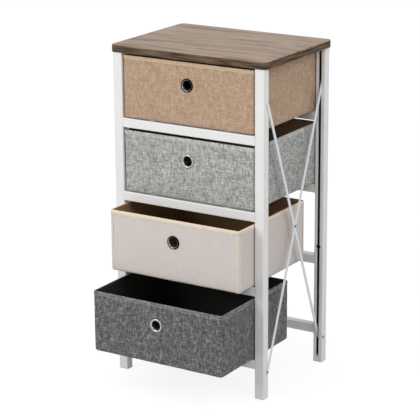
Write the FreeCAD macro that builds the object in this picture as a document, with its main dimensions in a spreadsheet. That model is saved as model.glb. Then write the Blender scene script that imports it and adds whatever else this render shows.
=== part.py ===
import FreeCAD, Part
import math
import os
import Sketcher
from FreeCAD import Rotation, Vector

# A free-standing drawer unit: two welded steel ladders joined by a pair of crossed braces on
# each side, a wood-look top pegged on the posts, and four cloth bins that slide on flat runners.
# Millimetres. X is across the front, +Y goes back, +Z is up.
# The origin is on the floor, midway between the four posts.

doc = FreeCAD.newDocument("drawer_unit")

# Driving sizes

SIZES = {
    # The steel frame over its posts, and the height of the posts' upper ends.
    "frame_width": 406,
    "frame_depth": 304,
    "frame_height": 782,
    # Posts: roll-formed channel with a slot that faces into the frame.
    "post_width": 24,
    "post_depth": 22,
    "post_wall": 1.2,
    "post_corner_radius": 2,
    "slot_width": 6,
    # Plugs in the posts' ends.
    "foot_thickness": 3,
    "foot_plug_length": 12,
    "top_plug_length": 16,
    "plug_clearance": 0.2,
    # The top board and its pegs.
    "top_side_overhang": 6,
    "top_front_overhang": 2,
    "top_thickness": 18,
    "top_corner_radius": 12,
    "top_edge_radius": 2,
    "top_lower_edge_bevel": 1.5,
    "peg_diameter": 8,
    "peg_depth_in_top": 10,
    "peg_depth_in_plug": 12,
    "peg_clearance": 0.1,
    # Crossbars: square tube, four tiers at the front and at the back.
    "crossbar_height": 22,
    "crossbar_depth": 20,
    "crossbar_wall": 1.2,
    "crossbar_corner_radius": 2,
    "lowest_crossbar_top": 94,
    # Runners: flat strips whose turned-down ends drop into the crossbars.
    "runner_width": 16,
    "runner_thickness": 1.5,
    "runner_inset": 74.5,
    "tongue_length": 8,
    "tongue_clearance": 0.3,
    # Crossed braces: outside the front posts, inside the rear posts' slots.
    "brace_pivot_height": 65,
    "brace_top_drop": 82,
    "brace_inset": 6.5,
    "brace_stand_off": 0.4,
    "bar_width": 9,
    "bar_thickness": 1.5,
    "bar_gap": 0.2,
    "pin_diameter": 5,
    "pin_clearance": 0.1,
    "slider_height": 16,
    "slider_clearance": 0.3,
    "slider_slot_depth": 12,
    "slider_slot_play": 0.8,
    # Rivets and screws.
    "rivet_head_diameter": 7,
    "rivet_head_height": 1.8,
    "rivet_tail_height": 0.8,
    "rivet_head_bevel": 0.8,
    "rivet_seat": 0.3,
    "screw_reach": 5,
    "tie_rivet_rise": 24,
    "tie_rivet_diameter": 4.4,
    "tie_rivet_head_diameter": 10.5,
    # Drawers: a cloth bin with boards in its walls, and the air left round it.
    "drawer_side_gap": 2.5,
    "drawer_rear_setback": 1,
    "drawer_headroom": 6.4,
    "top_headroom": 4.4,
    "drawer_corner_radius": 9,
    "front_recess": 1,
    "running_gap": 0.3,
    "outer_cloth": 1.2,
    "lining_cloth": 0.8,
    "board_thickness": 3,
    "pocket_clearance": 0.2,
    "board_rim_gap": 1,
    "cover_base": 2,
    "base_board_thickness": 3,
    "base_board_clearance": 1,
    "binding_height": 8,
    "binding_thickness": 0.8,
    # How far the two lower drawers stand open.
    "drawer_3_pull": 64.5,
    "drawer_4_pull": 141,
    # The metal eyelet that serves as a finger pull.
    "eyelet_drop": 52,
    "eyelet_outer_diameter": 35,
    "eyelet_hole_diameter": 22,
    "eyelet_rim_height": 2.4,
    "eyelet_rim_bevel": 2.6,
    "eyelet_wall": 0.9,
    "eyelet_lip_width": 1.8,
    "eyelet_lip_height": 1.2,
    "eyelet_clearance": 0.3,
    "washer_diameter": 33,
    "washer_thickness": 0.8,
}

# Sizes that follow from the frame: the tiers share its height, and each bin fills its bay
# but for the gaps above.
FITTED = {
    "tier_pitch": "(frame_height - lowest_crossbar_top + crossbar_height + drawer_headroom - top_headroom) / 4",
    "drawer_width": "frame_width - 2 * post_width - 2 * drawer_side_gap",
    "drawer_depth": "frame_depth - front_recess - drawer_rear_setback",
    "drawer_height": "tier_pitch - crossbar_height - runner_thickness - running_gap - binding_thickness"
                     " - drawer_headroom",
    "runner_offset": "drawer_width / 2 - runner_inset",
    "brace_top_height": "frame_height - brace_top_drop",
    "tie_rivet_height": "lowest_crossbar_top + tier_pitch + tie_rivet_rise",
}

sheet = doc.addObject("Spreadsheet::Sheet", "sizes")
cells = {alias: str(size) for alias, size in SIZES.items()}
cells.update({alias: f"={formula}" for alias, formula in FITTED.items()})
for row, (alias, content) in enumerate(cells.items(), start=1):
    sheet.set(f"A{row}", alias.replace("_", " "))
    sheet.setAlias(f"B{row}", alias)
    sheet.set(f"B{row}", content)
doc.recompute()

LEFT, RIGHT = -1, 1
FRONT, REAR = -1, 1
SIDE_NAMES = {LEFT: "left", RIGHT: "right"}
END_NAMES = {FRONT: "front", REAR: "rear"}
PULLS = {1: "0", 2: "0", 3: "sizes.drawer_3_pull", 4: "sizes.drawer_4_pull"}
TIERS = tuple(PULLS)

# Places that several pieces share, as expressions on the sheet

POST_X = "(sizes.frame_width - sizes.post_width) / 2"
POST_Y = "(sizes.frame_depth - sizes.post_depth) / 2"
CROSSBAR_Y = "(sizes.frame_depth - sizes.crossbar_depth) / 2"
CROSSBAR_LENGTH = "(sizes.frame_width - 2 * sizes.post_width)"
PIVOT_Y = "(sizes.frame_depth / 2 - sizes.post_depth + sizes.brace_inset)"
BRACE_RISE = "(sizes.brace_top_height - sizes.brace_pivot_height)"
BRACE_MIDDLE = "(sizes.brace_top_height + sizes.brace_pivot_height) / 2"
BRACE_FRONT_X = "(sizes.frame_width / 2 + sizes.brace_stand_off + sizes.bar_thickness / 2)"
BAR_PITCH = "(sizes.bar_thickness + sizes.bar_gap)"
FRONT_SEAT_X = "(sizes.frame_width / 2 + sizes.brace_stand_off + sizes.bar_thickness + sizes.rivet_seat)"
FRONT_GRIP = "(sizes.post_wall + sizes.brace_stand_off + sizes.bar_thickness + sizes.rivet_seat)"
PIN_HOLE = "sizes.pin_diameter / 2 + sizes.pin_clearance"
CAVITY_WIDTH = "(sizes.post_width - 2 * sizes.post_wall)"
CAVITY_DEPTH = "(sizes.post_depth - 2 * sizes.post_wall)"
DRAWER_WALL = "(sizes.outer_cloth + sizes.board_thickness + sizes.pocket_clearance + sizes.lining_cloth)"
INNER_WIDTH = f"(sizes.drawer_width - 2 * {DRAWER_WALL})"
INNER_DEPTH = f"(sizes.drawer_depth - 2 * {DRAWER_WALL})"
INNER_RADIUS = f"(sizes.drawer_corner_radius - {DRAWER_WALL})"
POCKET_ACROSS = "(sizes.drawer_width - 2 * sizes.drawer_corner_radius)"
POCKET_ALONG = "(sizes.drawer_depth - 2 * sizes.drawer_corner_radius)"
BOARD_ACROSS = f"({POCKET_ACROSS} - 2 * sizes.pocket_clearance)"
BOARD_ALONG = f"({POCKET_ALONG} - 2 * sizes.pocket_clearance)"
EYELET_Z = "(sizes.drawer_height - sizes.eyelet_drop)"
EYELET_BARREL = "(sizes.eyelet_hole_diameter / 2 + sizes.eyelet_wall)"
WALL_HOLE = f"({EYELET_BARREL} + sizes.eyelet_clearance)"


def crossbar_top(tier):
    """Height of a tier's crossbars; tier 1 is the highest."""
    return f"(sizes.lowest_crossbar_top + {len(TIERS) - tier} * sizes.tier_pitch)"


def number(expression):
    """What an expression on the sheet comes to now."""
    return float(sheet.evalExpression(expression))


# Sketches and features


def new_body(label):
    body = doc.addObject("PartDesign::Body", label)
    body.Label = label
    return body


def new_sketch(body, label, plane="XY_Plane", lift="0"):
    """A sketch on one of the body's own planes, lifted along that plane's normal."""
    sketch = body.newObject("Sketcher::SketchObject", label)
    origin_plane = [item for item in body.Origin.OriginFeatures if item.Role == plane][0]
    sketch.AttachmentSupport = [(origin_plane, "")]
    sketch.MapMode = "FlatFace"
    sketch.setExpression("AttachmentOffset.Base.z", lift)
    return sketch


def bind(sketch, kind, places, expression):
    """One dimension of a sketch, tied to the sheet."""
    index = sketch.addConstraint(Sketcher.Constraint(kind, *places, number(expression)))
    sketch.setExpression(f"Constraints[{index}]", expression)


def draw_lines(sketch, corners):
    """A closed run of straight lines; returns the index of its first line."""
    first = sketch.GeometryCount
    count = len(corners)
    for index in range(count):
        start, end = corners[index], corners[(index + 1) % count]
        sketch.addGeometry(Part.LineSegment(Vector(*start), Vector(*end)), False)
    for index in range(count):
        following = first + (index + 1) % count
        sketch.addConstraint(Sketcher.Constraint("Coincident", first + index, 2, following, 1))
    return first


def draw_rectangle(sketch, width, height, x="0", y="0"):
    """A rectangle about the point x, y."""
    half_w, half_h = number(width) / 2, number(height) / 2
    cx, cy = number(x), number(y)
    first = draw_lines(sketch, [
        (cx - half_w, cy - half_h),
        (cx + half_w, cy - half_h),
        (cx + half_w, cy + half_h),
        (cx - half_w, cy + half_h),
    ])
    for line, kind in enumerate(("Horizontal", "Vertical", "Horizontal", "Vertical")):
        sketch.addConstraint(Sketcher.Constraint(kind, first + line))
    bind(sketch, "DistanceX", (first, 1, first, 2), width)
    bind(sketch, "DistanceY", (first + 1, 1, first + 1, 2), height)
    bind(sketch, "DistanceX", (-1, 1, first, 1), f"{x} - ({width}) / 2")
    bind(sketch, "DistanceY", (-1, 1, first, 1), f"{y} - ({height}) / 2")


def draw_rounded_rectangle(sketch, width, depth, radius):
    """A rectangle with round corners, centred on the sketch's origin."""
    half_w, half_d, r = number(width) / 2, number(depth) / 2, number(radius)
    first = sketch.GeometryCount
    # Each side runs anticlockwise into the corner that follows it, from the front side on.
    signs = ((1, -1), (1, 1), (-1, 1), (-1, -1))
    corners = [Vector(sx * (half_w - r), sy * (half_d - r), 0) for sx, sy in signs]
    outwards = (Vector(0, -r, 0), Vector(r, 0, 0), Vector(0, r, 0), Vector(-r, 0, 0))
    for index, (centre, out) in enumerate(zip(corners, outwards)):
        sketch.addGeometry(Part.LineSegment(corners[index - 1] + out, centre + out), False)
        start = (index - 1) * math.pi / 2
        circle = Part.Circle(centre, Vector(0, 0, 1), r)
        sketch.addGeometry(Part.ArcOfCircle(circle, start, start + math.pi / 2), False)
    lines = [first + 2 * index for index in range(4)]
    arcs = [first + 2 * index + 1 for index in range(4)]
    for index in range(4):
        following = lines[(index + 1) % 4]
        sketch.addConstraint(Sketcher.Constraint("Tangent", lines[index], 2, arcs[index], 1))
        sketch.addConstraint(Sketcher.Constraint("Tangent", arcs[index], 2, following, 1))
        kind = "Horizontal" if index % 2 == 0 else "Vertical"
        sketch.addConstraint(Sketcher.Constraint(kind, lines[index]))
    for arc in arcs[1:]:
        sketch.addConstraint(Sketcher.Constraint("Equal", arcs[0], arc))
    sketch.addConstraint(Sketcher.Constraint("Symmetric", arcs[0], 3, arcs[2], 3, -1, 1))
    bind(sketch, "Radius", (arcs[0],), radius)
    bind(sketch, "DistanceX", (lines[3], 1, lines[1], 1), width)
    bind(sketch, "DistanceY", (lines[0], 1, lines[2], 1), depth)


def draw_circle(sketch, radius, x="0", y="0"):
    """A circle about the point x, y."""
    centre = Vector(number(x), number(y), 0)
    index = sketch.addGeometry(Part.Circle(centre, Vector(0, 0, 1), number(radius)), False)
    bind(sketch, "Radius", (index,), radius)
    for kind, axis, place in (("DistanceX", -2, x), ("DistanceY", -1, y)):
        if place == "0":
            sketch.addConstraint(Sketcher.Constraint("PointOnObject", index, 3, axis))
        else:
            bind(sketch, kind, (-1, 1, index, 3), place)


def draw_profile(sketch, points):
    """A closed outline through points whose coordinates are expressions."""
    first = draw_lines(sketch, [(number(x), number(y)) for x, y in points])
    for index, (x, y) in enumerate(points):
        line = first + index
        for kind, axis, place in (("DistanceX", -2, x), ("DistanceY", -1, y)):
            if place == "0":
                sketch.addConstraint(Sketcher.Constraint("PointOnObject", line, 1, axis))
            else:
                bind(sketch, kind, (-1, 1, line, 1), place)


def pad(body, sketch, length, symmetric=False):
    feature = body.newObject("PartDesign::Pad", f"{body.Label}_pad")
    feature.Profile = sketch
    feature.SideType = "Symmetric" if symmetric else "One side"
    feature.setExpression("Length", length)
    return feature


def pocket(body, sketch, length=None, symmetric=False, reverse=False):
    """A cut along the sketch's normal, through everything unless a length is given."""
    feature = body.newObject("PartDesign::Pocket", f"{body.Label}_pocket")
    feature.Profile = sketch
    feature.SideType = "Symmetric" if symmetric else "One side"
    feature.Reversed = reverse
    if length is None:
        feature.Type = "ThroughAll"
    else:
        feature.Type = "Length"
        feature.setExpression("Length", length)
    return feature


def revolve(body, sketch):
    """A full turn of a half profile about the sketch's vertical axis."""
    feature = body.newObject("PartDesign::Revolution", f"{body.Label}_turned")
    feature.Profile = sketch
    feature.ReferenceAxis = (sketch, ["V_Axis"])
    feature.Angle = 360
    return feature


def edges_at(feature, height):
    """The names of a feature's edges that lie in the level plane at a height."""
    doc.recompute()
    level = number(height)
    names = []
    for index, edge in enumerate(feature.Shape.Edges, start=1):
        box = edge.BoundBox
        if abs(box.ZMin - level) < 0.001 and abs(box.ZMax - level) < 0.001:
            names.append(f"Edge{index}")
    return names


def round_edges(body, feature, height, radius):
    rounding = body.newObject("PartDesign::Fillet", f"{body.Label}_fillet")
    rounding.Base = (feature, edges_at(feature, height))
    rounding.setExpression("Radius", radius)
    body.Tip = rounding
    return rounding


def bevel_edges(body, feature, height, size):
    bevel = body.newObject("PartDesign::Chamfer", f"{body.Label}_chamfer")
    bevel.Base = (feature, edges_at(feature, height))
    bevel.setExpression("Size", size)
    body.Tip = bevel
    return bevel


def place(item, x="0", y="0", z="0", axis=None, angle=None):
    """Puts a piece at x, y, z, turned about an axis by a number of degrees or an expression."""
    if axis is not None:
        degrees = angle if angle is not None and not isinstance(angle, str) else 0
        item.Placement = FreeCAD.Placement(Vector(0, 0, 0), Rotation(Vector(*axis), degrees))
        if isinstance(angle, str):
            item.setExpression("Placement.Rotation.Angle", angle)
    item.setExpression("Placement.Base.x", x)
    item.setExpression("Placement.Base.y", y)
    item.setExpression("Placement.Base.z", z)
    return item


def new_box(label, length, width, height):
    box = doc.addObject("Part::Box", label)
    box.setExpression("Length", length)
    box.setExpression("Width", width)
    box.setExpression("Height", height)
    return box


def new_cylinder(label, radius, height):
    cylinder = doc.addObject("Part::Cylinder", label)
    cylinder.setExpression("Radius", radius)
    cylinder.setExpression("Height", height)
    return cylinder


def new_cut(label, base, tool):
    cut = doc.addObject("Part::Cut", label)
    cut.Base = base
    cut.Tool = tool
    return cut


def new_group(label, pieces):
    """Like pieces that share one node, each still a solid of its own."""
    group = doc.addObject("Part::Compound", label)
    group.Links = pieces
    return group


def stand_at_post(item, side, end, z="0"):
    """Puts a post's piece in its corner, its +Y side turned to face into the frame."""
    turn = 180 if end == REAR else 0
    return place(item, f"{side} * {POST_X}", f"{end} * {POST_Y}", z, (0, 0, 1), turn)


def outward(side, end):
    """The sign of a post piece's own X axis that points out of the frame."""
    return -end * side


# Posts and the plugs in their ends


def make_post(side, end):
    """Lipped channel with a full-length slot in its inward face and holes for the braces' fixings."""
    body = new_body(f"{END_NAMES[end]}_{SIDE_NAMES[side]}_post")
    section = new_sketch(body, "post_section")
    draw_rounded_rectangle(section, "sizes.post_width", "sizes.post_depth", "sizes.post_corner_radius")
    pad(body, section, "sizes.frame_height - sizes.foot_thickness")
    bore = new_sketch(body, "post_inside")
    draw_rectangle(bore, CAVITY_WIDTH, CAVITY_DEPTH)
    pocket(body, bore, reverse=True)
    slot = new_sketch(body, "post_slot")
    draw_rectangle(
        slot, "sizes.slot_width", "2 * sizes.post_wall", "0", "(sizes.post_depth - sizes.post_wall) / 2",
    )
    pocket(body, slot, reverse=True)
    hole_y = "sizes.post_depth / 2 - sizes.brace_inset"
    if end == REAR:
        hole = new_sketch(body, "pivot_hole", "YZ_Plane")
        draw_circle(hole, PIN_HOLE, hole_y, "sizes.brace_pivot_height - sizes.foot_thickness")
        pocket(body, hole, symmetric=True)
    else:
        holes = new_sketch(body, "outer_wall_holes", "YZ_Plane", f"{outward(side, end)} * sizes.post_width / 2")
        for height in ("sizes.brace_pivot_height", "sizes.brace_top_height"):
            draw_circle(holes, PIN_HOLE, hole_y, f"{height} - sizes.foot_thickness")
        pocket(body, holes, "4 * sizes.post_wall", symmetric=True)
    return stand_at_post(body, side, end, "sizes.foot_thickness")


def draw_plug_section(body, label, lift):
    """The inside of a post's channel, less the clearance, with a rib that closes the slot."""
    section = new_sketch(body, label, lift=lift)
    draw_rectangle(
        section, f"{CAVITY_WIDTH} - 2 * sizes.plug_clearance", f"{CAVITY_DEPTH} - 2 * sizes.plug_clearance",
    )
    rib = new_sketch(body, f"{label}_rib", lift=lift)
    rib_depth = "(sizes.post_wall + 2 * sizes.plug_clearance)"
    draw_rectangle(
        rib, "sizes.slot_width - 2 * sizes.plug_clearance", rib_depth,
        "0", f"(sizes.post_depth - {rib_depth}) / 2",
    )
    return section, rib


def make_foot_plug(side, end):
    """Moulded foot: a sole under the post's end and a plug inside it."""
    body = new_body(f"{END_NAMES[end]}_{SIDE_NAMES[side]}_foot")
    sole = new_sketch(body, "sole")
    draw_rounded_rectangle(sole, "sizes.post_width", "sizes.post_depth", "sizes.post_corner_radius")
    pad(body, sole, "sizes.foot_thickness")
    for sketch in draw_plug_section(body, "plug", "sizes.foot_thickness"):
        pad(body, sketch, "sizes.foot_plug_length")
    return stand_at_post(body, side, end)


def make_top_plug(side, end):
    """Moulded plug flush with the post's upper end, with a socket for the top's peg."""
    body = new_body(f"{END_NAMES[end]}_{SIDE_NAMES[side]}_top_plug")
    for sketch in draw_plug_section(body, "plug", "0"):
        pad(body, sketch, "sizes.top_plug_length")
    socket = new_sketch(body, "socket", lift="sizes.top_plug_length")
    draw_circle(socket, "sizes.peg_diameter / 2 + sizes.peg_clearance")
    pocket(body, socket, "sizes.peg_depth_in_plug")
    return stand_at_post(body, side, end, "sizes.frame_height - sizes.top_plug_length")


# The top board and the pegs that locate it on the posts


def make_top_board():
    body = new_body("top_board")
    outline = new_sketch(body, "board_outline")
    draw_rounded_rectangle(
        outline, "sizes.frame_width + 2 * sizes.top_side_overhang",
        "sizes.frame_depth + 2 * sizes.top_front_overhang", "sizes.top_corner_radius",
    )
    board = pad(body, outline, "sizes.top_thickness")
    rounded = round_edges(body, board, "sizes.top_thickness", "sizes.top_edge_radius")
    bevel_edges(body, rounded, "0", "sizes.top_lower_edge_bevel")
    holes = new_sketch(body, "peg_holes")
    for side in (LEFT, RIGHT):
        for end in (FRONT, REAR):
            draw_circle(
                holes, "sizes.peg_diameter / 2 + sizes.peg_clearance",
                f"{side} * {POST_X}", f"{end} * {POST_Y}",
            )
    pocket(body, holes, "sizes.peg_depth_in_top", reverse=True)
    return place(body, z="sizes.frame_height")


def make_pegs():
    pegs = []
    length = "sizes.peg_depth_in_plug + sizes.peg_depth_in_top"
    lower_end = "sizes.frame_height - sizes.peg_depth_in_plug"
    for side in (LEFT, RIGHT):
        for end in (FRONT, REAR):
            peg = new_cylinder("peg", "sizes.peg_diameter / 2", length)
            place(peg, f"{side} * {POST_X}", f"{end} * {POST_Y}", lower_end)
            pegs.append(peg)
    return new_group("top_board_pegs", pegs)


# Crossbars and the runners that lie on them


def make_crossbar(tier, end):
    """Square tube between two posts, with two slots in its top for the runners' tongues."""
    body = new_body(f"{END_NAMES[end]}_crossbar_{tier}")
    section = new_sketch(body, "tube_section", "YZ_Plane")
    draw_rounded_rectangle(
        section, "sizes.crossbar_depth", "sizes.crossbar_height", "sizes.crossbar_corner_radius",
    )
    pad(body, section, CROSSBAR_LENGTH, symmetric=True)
    bore = new_sketch(body, "tube_inside", "YZ_Plane")
    draw_rectangle(
        bore, "sizes.crossbar_depth - 2 * sizes.crossbar_wall",
        "sizes.crossbar_height - 2 * sizes.crossbar_wall",
    )
    pocket(body, bore, symmetric=True)
    slots = new_sketch(body, "tongue_slots")
    for side in (LEFT, RIGHT):
        draw_rectangle(
            slots, "sizes.runner_width + 2 * sizes.tongue_clearance",
            "sizes.runner_thickness + 2 * sizes.tongue_clearance", f"{side} * sizes.runner_offset",
        )
    pocket(body, slots, reverse=True)
    return place(body, y=f"{end} * {CROSSBAR_Y}", z=f"{crossbar_top(tier)} - sizes.crossbar_height / 2")


def make_runner(tier, side):
    """Flat strip from the front crossbar to the rear one, both ends turned down as tongues."""
    body = new_body(f"{SIDE_NAMES[side]}_runner_{tier}")
    profile = new_sketch(body, "strip_profile", "YZ_Plane")
    reach = f"({CROSSBAR_Y} + sizes.runner_thickness / 2)"
    inner = f"({CROSSBAR_Y} - sizes.runner_thickness / 2)"
    draw_profile(profile, [
        (f"-{reach}", "-sizes.tongue_length"),
        (f"-{inner}", "-sizes.tongue_length"),
        (f"-{inner}", "0"),
        (inner, "0"),
        (inner, "-sizes.tongue_length"),
        (reach, "-sizes.tongue_length"),
        (reach, "sizes.runner_thickness"),
        (f"-{reach}", "sizes.runner_thickness"),
    ])
    pad(body, profile, "sizes.runner_width", symmetric=True)
    return place(body, x=f"{side} * sizes.runner_offset", z=crossbar_top(tier))


# Crossed braces, with their rivets, screws and sliders


def brace_rear_x(rising):
    """The two bars of a side stand side by side in the rear slot, the rising one outside."""
    return f"({POST_X} {'+' if rising else '-'} {BAR_PITCH})"


def brace_cross_x(rising):
    return f"(({BRACE_FRONT_X} + {brace_rear_x(rising)}) / 2)"


def brace_drift(rising):
    """How far a bar comes in from the front post's outer face to the rear post's slot."""
    return f"({BRACE_FRONT_X} - {brace_rear_x(rising)})"


def make_brace_bar(side, rising):
    """Flat bar with round ends; the rising one runs from the front foot up to the rear post."""
    body = new_body(f"{SIDE_NAMES[side]}_{'rising' if rising else 'falling'}_brace_bar")
    reach = f"sqrt((2 * {PIVOT_Y}) ^ 2 + {brace_drift(rising)} ^ 2)"
    length = f"sqrt({reach} ^ 2 + {BRACE_RISE} ^ 2)"
    outline = new_sketch(body, "bar_outline", "YZ_Plane")
    draw_rectangle(outline, "sizes.bar_width", length)
    pad(body, outline, "sizes.bar_thickness", symmetric=True)
    half_length = f"{length} / 2"
    for name, height in (("upper_eye", half_length), ("lower_eye", f"-{half_length}")):
        eye = new_sketch(body, name, "YZ_Plane")
        draw_circle(eye, "sizes.bar_width / 2", y=height)
        pad(body, eye, "sizes.bar_thickness", symmetric=True)
    holes = new_sketch(body, "rivet_holes", "YZ_Plane")
    for height in (half_length, "0", f"-{half_length}"):
        draw_circle(holes, PIN_HOLE, y=height)
    pocket(body, holes, symmetric=True)
    place(body, f"{side} * {brace_cross_x(rising)}", "0", BRACE_MIDDLE)
    body.setExpression("Placement.Rotation.Yaw", f"{side} * atan({brace_drift(rising)} / (2 * {PIVOT_Y}))")
    body.setExpression("Placement.Rotation.Roll", f"{-1 if rising else 1} * atan({reach} / {BRACE_RISE})")
    return body


def make_rivet(label, shank_diameter, grip, head_diameter="sizes.rivet_head_diameter"):
    """A head with a bevelled edge above z 0, a shank through the grip and a flat tail below it."""
    body = new_body(label)
    half_profile = new_sketch(body, "rivet_profile", "XZ_Plane")
    head = f"{head_diameter} / 2"
    shank = f"{shank_diameter} / 2"
    tail = f"({head} + {shank}) / 2"
    draw_profile(half_profile, [
        ("0", "sizes.rivet_head_height"),
        (f"{head} - sizes.rivet_head_bevel", "sizes.rivet_head_height"),
        (head, "sizes.rivet_head_height - sizes.rivet_head_bevel"),
        (head, "0"),
        (shank, "0"),
        (shank, f"-({grip})"),
        (tail, f"-({grip})"),
        (tail, f"-({grip}) - sizes.rivet_tail_height"),
        ("0", f"-({grip}) - sizes.rivet_tail_height"),
    ])
    revolve(body, half_profile)
    return body


def make_screw(label, grip):
    """A pan head above z 0 and a shank that ends a little way past the grip."""
    body = new_body(label)
    half_profile = new_sketch(body, "screw_profile", "XZ_Plane")
    head = "sizes.rivet_head_diameter / 2"
    shank = "sizes.pin_diameter / 2"
    end = f"({grip} + sizes.screw_reach)"
    draw_profile(half_profile, [
        ("0", "sizes.rivet_head_height"),
        (f"{head} - sizes.rivet_head_bevel", "sizes.rivet_head_height"),
        (head, "sizes.rivet_head_height - sizes.rivet_head_bevel"),
        (head, "0"),
        (shank, "0"),
        (shank, f"-{end} + {shank} / 2"),
        (f"{shank} / 2", f"-{end}"),
        ("0", f"-{end}"),
    ])
    revolve(body, half_profile)
    return body


def make_pivot_rivets():
    """The bars' lower ends: at the front outside the post, at the rear between its two walls."""
    rivets = []
    ends = ((FRONT, FRONT_GRIP, FRONT_SEAT_X), (REAR, "sizes.post_width", "sizes.frame_width / 2"))
    for side in (LEFT, RIGHT):
        for end, grip, seat in ends:
            rivet = make_rivet("pivot_rivet", "sizes.pin_diameter", grip)
            place(rivet, f"{side} * {seat}", f"{end} * {PIVOT_Y}", "sizes.brace_pivot_height", (0, side, 0), 90)
            rivets.append(rivet)
    return new_group("brace_pivot_rivets", rivets)


def make_top_screws():
    """Each falling bar's upper end is screwed to the outside of its front post."""
    screws = []
    for side in (LEFT, RIGHT):
        screw = make_screw("top_screw", FRONT_GRIP)
        place(screw, f"{side} * {FRONT_SEAT_X}", f"-{PIVOT_Y}", "sizes.brace_top_height", (0, side, 0), 90)
        screws.append(screw)
    return new_group("brace_top_screws", screws)


def make_centre_rivets():
    """One rivet where the two bars of a side cross."""
    rivets = []
    for side in (LEFT, RIGHT):
        grip = "2 * sizes.bar_thickness + sizes.bar_gap + 2 * sizes.rivet_seat"
        rivet = make_rivet("centre_rivet", "sizes.pin_diameter", grip)
        seat = f"({brace_cross_x(True)} + sizes.bar_thickness / 2 + sizes.rivet_seat)"
        place(rivet, f"{side} * {seat}", "0", BRACE_MIDDLE, (0, side, 0), 90)
        rivets.append(rivet)
    return new_group("brace_centre_rivets", rivets)


def make_tie_rivets():
    """A dark rivet across the slot of each rear post, just above the third crossbar."""
    rivets = []
    for side in (LEFT, RIGHT):
        rivet = make_rivet(
            "tie_rivet", "sizes.tie_rivet_diameter", "sizes.post_wall", "sizes.tie_rivet_head_diameter",
        )
        place(
            rivet, f"{side} * {POST_X}", "sizes.frame_depth / 2 - sizes.post_depth",
            "sizes.tie_rivet_height", (1, 0, 0), 90,
        )
        rivets.append(rivet)
    return new_group("slot_tie_rivets", rivets)


def make_slider(side):
    """Nylon block in a rear post's channel, slotted for the rising bar's eye, with a boss through it."""
    body = new_body(f"{SIDE_NAMES[side]}_slider")
    block = new_sketch(body, "block")
    draw_rectangle(
        block, f"{CAVITY_WIDTH} - 2 * sizes.slider_clearance", f"{CAVITY_DEPTH} - 2 * sizes.slider_clearance",
    )
    pad(body, block, "sizes.slider_height", symmetric=True)
    groove_x = f"{outward(side, REAR)} * {BAR_PITCH}"
    groove_width = "(sizes.bar_thickness + sizes.slider_slot_play)"
    groove = new_sketch(body, "groove")
    draw_rectangle(
        groove, groove_width, "sizes.slider_slot_depth",
        groove_x, f"({CAVITY_DEPTH} - sizes.slider_slot_depth) / 2",
    )
    pocket(body, groove, symmetric=True)
    boss = new_sketch(body, "boss", "YZ_Plane", groove_x)
    draw_circle(boss, "sizes.pin_diameter / 2", "sizes.post_depth / 2 - sizes.brace_inset")
    pad(body, boss, f"2 * {groove_width}", symmetric=True)
    return stand_at_post(body, side, REAR, "sizes.brace_top_height")


# Drawers: every piece of one drawer shares the place of its cover's middle, on the underside


def drawer_place(item, tier, ahead="0", up="0"):
    """Puts a piece in its drawer, with an offset from the drawer's own place."""
    middle = f"(sizes.front_recess + (sizes.drawer_depth - sizes.frame_depth) / 2 - {PULLS[tier]})"
    underside = f"({crossbar_top(tier)} + sizes.runner_thickness + sizes.running_gap)"
    return place(item, "0", f"{middle} + {ahead}", f"{underside} + {up}")


def make_cover(tier):
    """Sewn bin: outer cloth and lining with a pocket between them in each wall."""
    body = new_body(f"drawer_{tier}_cover")
    outline = new_sketch(body, "bin_outline")
    draw_rounded_rectangle(outline, "sizes.drawer_width", "sizes.drawer_depth", "sizes.drawer_corner_radius")
    pad(body, outline, "sizes.drawer_height")
    inside = new_sketch(body, "bin_inside", lift="sizes.cover_base")
    draw_rounded_rectangle(inside, INNER_WIDTH, INNER_DEPTH, INNER_RADIUS)
    pocket(body, inside, reverse=True)
    pockets = new_sketch(body, "board_pockets", lift="sizes.cover_base")
    thickness = "(sizes.board_thickness + sizes.pocket_clearance)"
    for sign in (-1, 1):
        middle_y = f"{sign} * (sizes.drawer_depth / 2 - sizes.outer_cloth - {thickness} / 2)"
        middle_x = f"{sign} * (sizes.drawer_width / 2 - sizes.outer_cloth - {thickness} / 2)"
        draw_rectangle(pockets, POCKET_ACROSS, thickness, y=middle_y)
        draw_rectangle(pockets, thickness, POCKET_ALONG, x=middle_x)
    pocket(body, pockets, reverse=True)
    hole = new_sketch(body, "eyelet_hole", "XZ_Plane", "sizes.drawer_depth / 4")
    draw_circle(hole, WALL_HOLE, y=EYELET_Z)
    pocket(body, hole, reverse=True)
    return drawer_place(body, tier)


def make_stiffener(label, length, width, x, y):
    """A flat board on end in its pocket, from the cover's base to just under the rim."""
    height = "sizes.drawer_height - sizes.cover_base - sizes.board_rim_gap"
    return place(new_box(label, length, width, height), x, y, "sizes.cover_base")


def make_front_board(tier):
    """The front wall's stiffener, with the hole that the eyelet goes through."""
    outer_face = "(sizes.outer_cloth - sizes.drawer_depth / 2)"
    board = make_stiffener(
        f"front_sheet_{tier}", BOARD_ACROSS, "sizes.board_thickness", f"-{BOARD_ACROSS} / 2", outer_face,
    )
    hole = new_cylinder(f"front_hole_{tier}", WALL_HOLE, "3 * sizes.board_thickness")
    place(hole, "0", f"{outer_face} - sizes.board_thickness", EYELET_Z, (-1, 0, 0), 90)
    return drawer_place(new_cut(f"drawer_{tier}_front_board", board, hole), tier)


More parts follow.
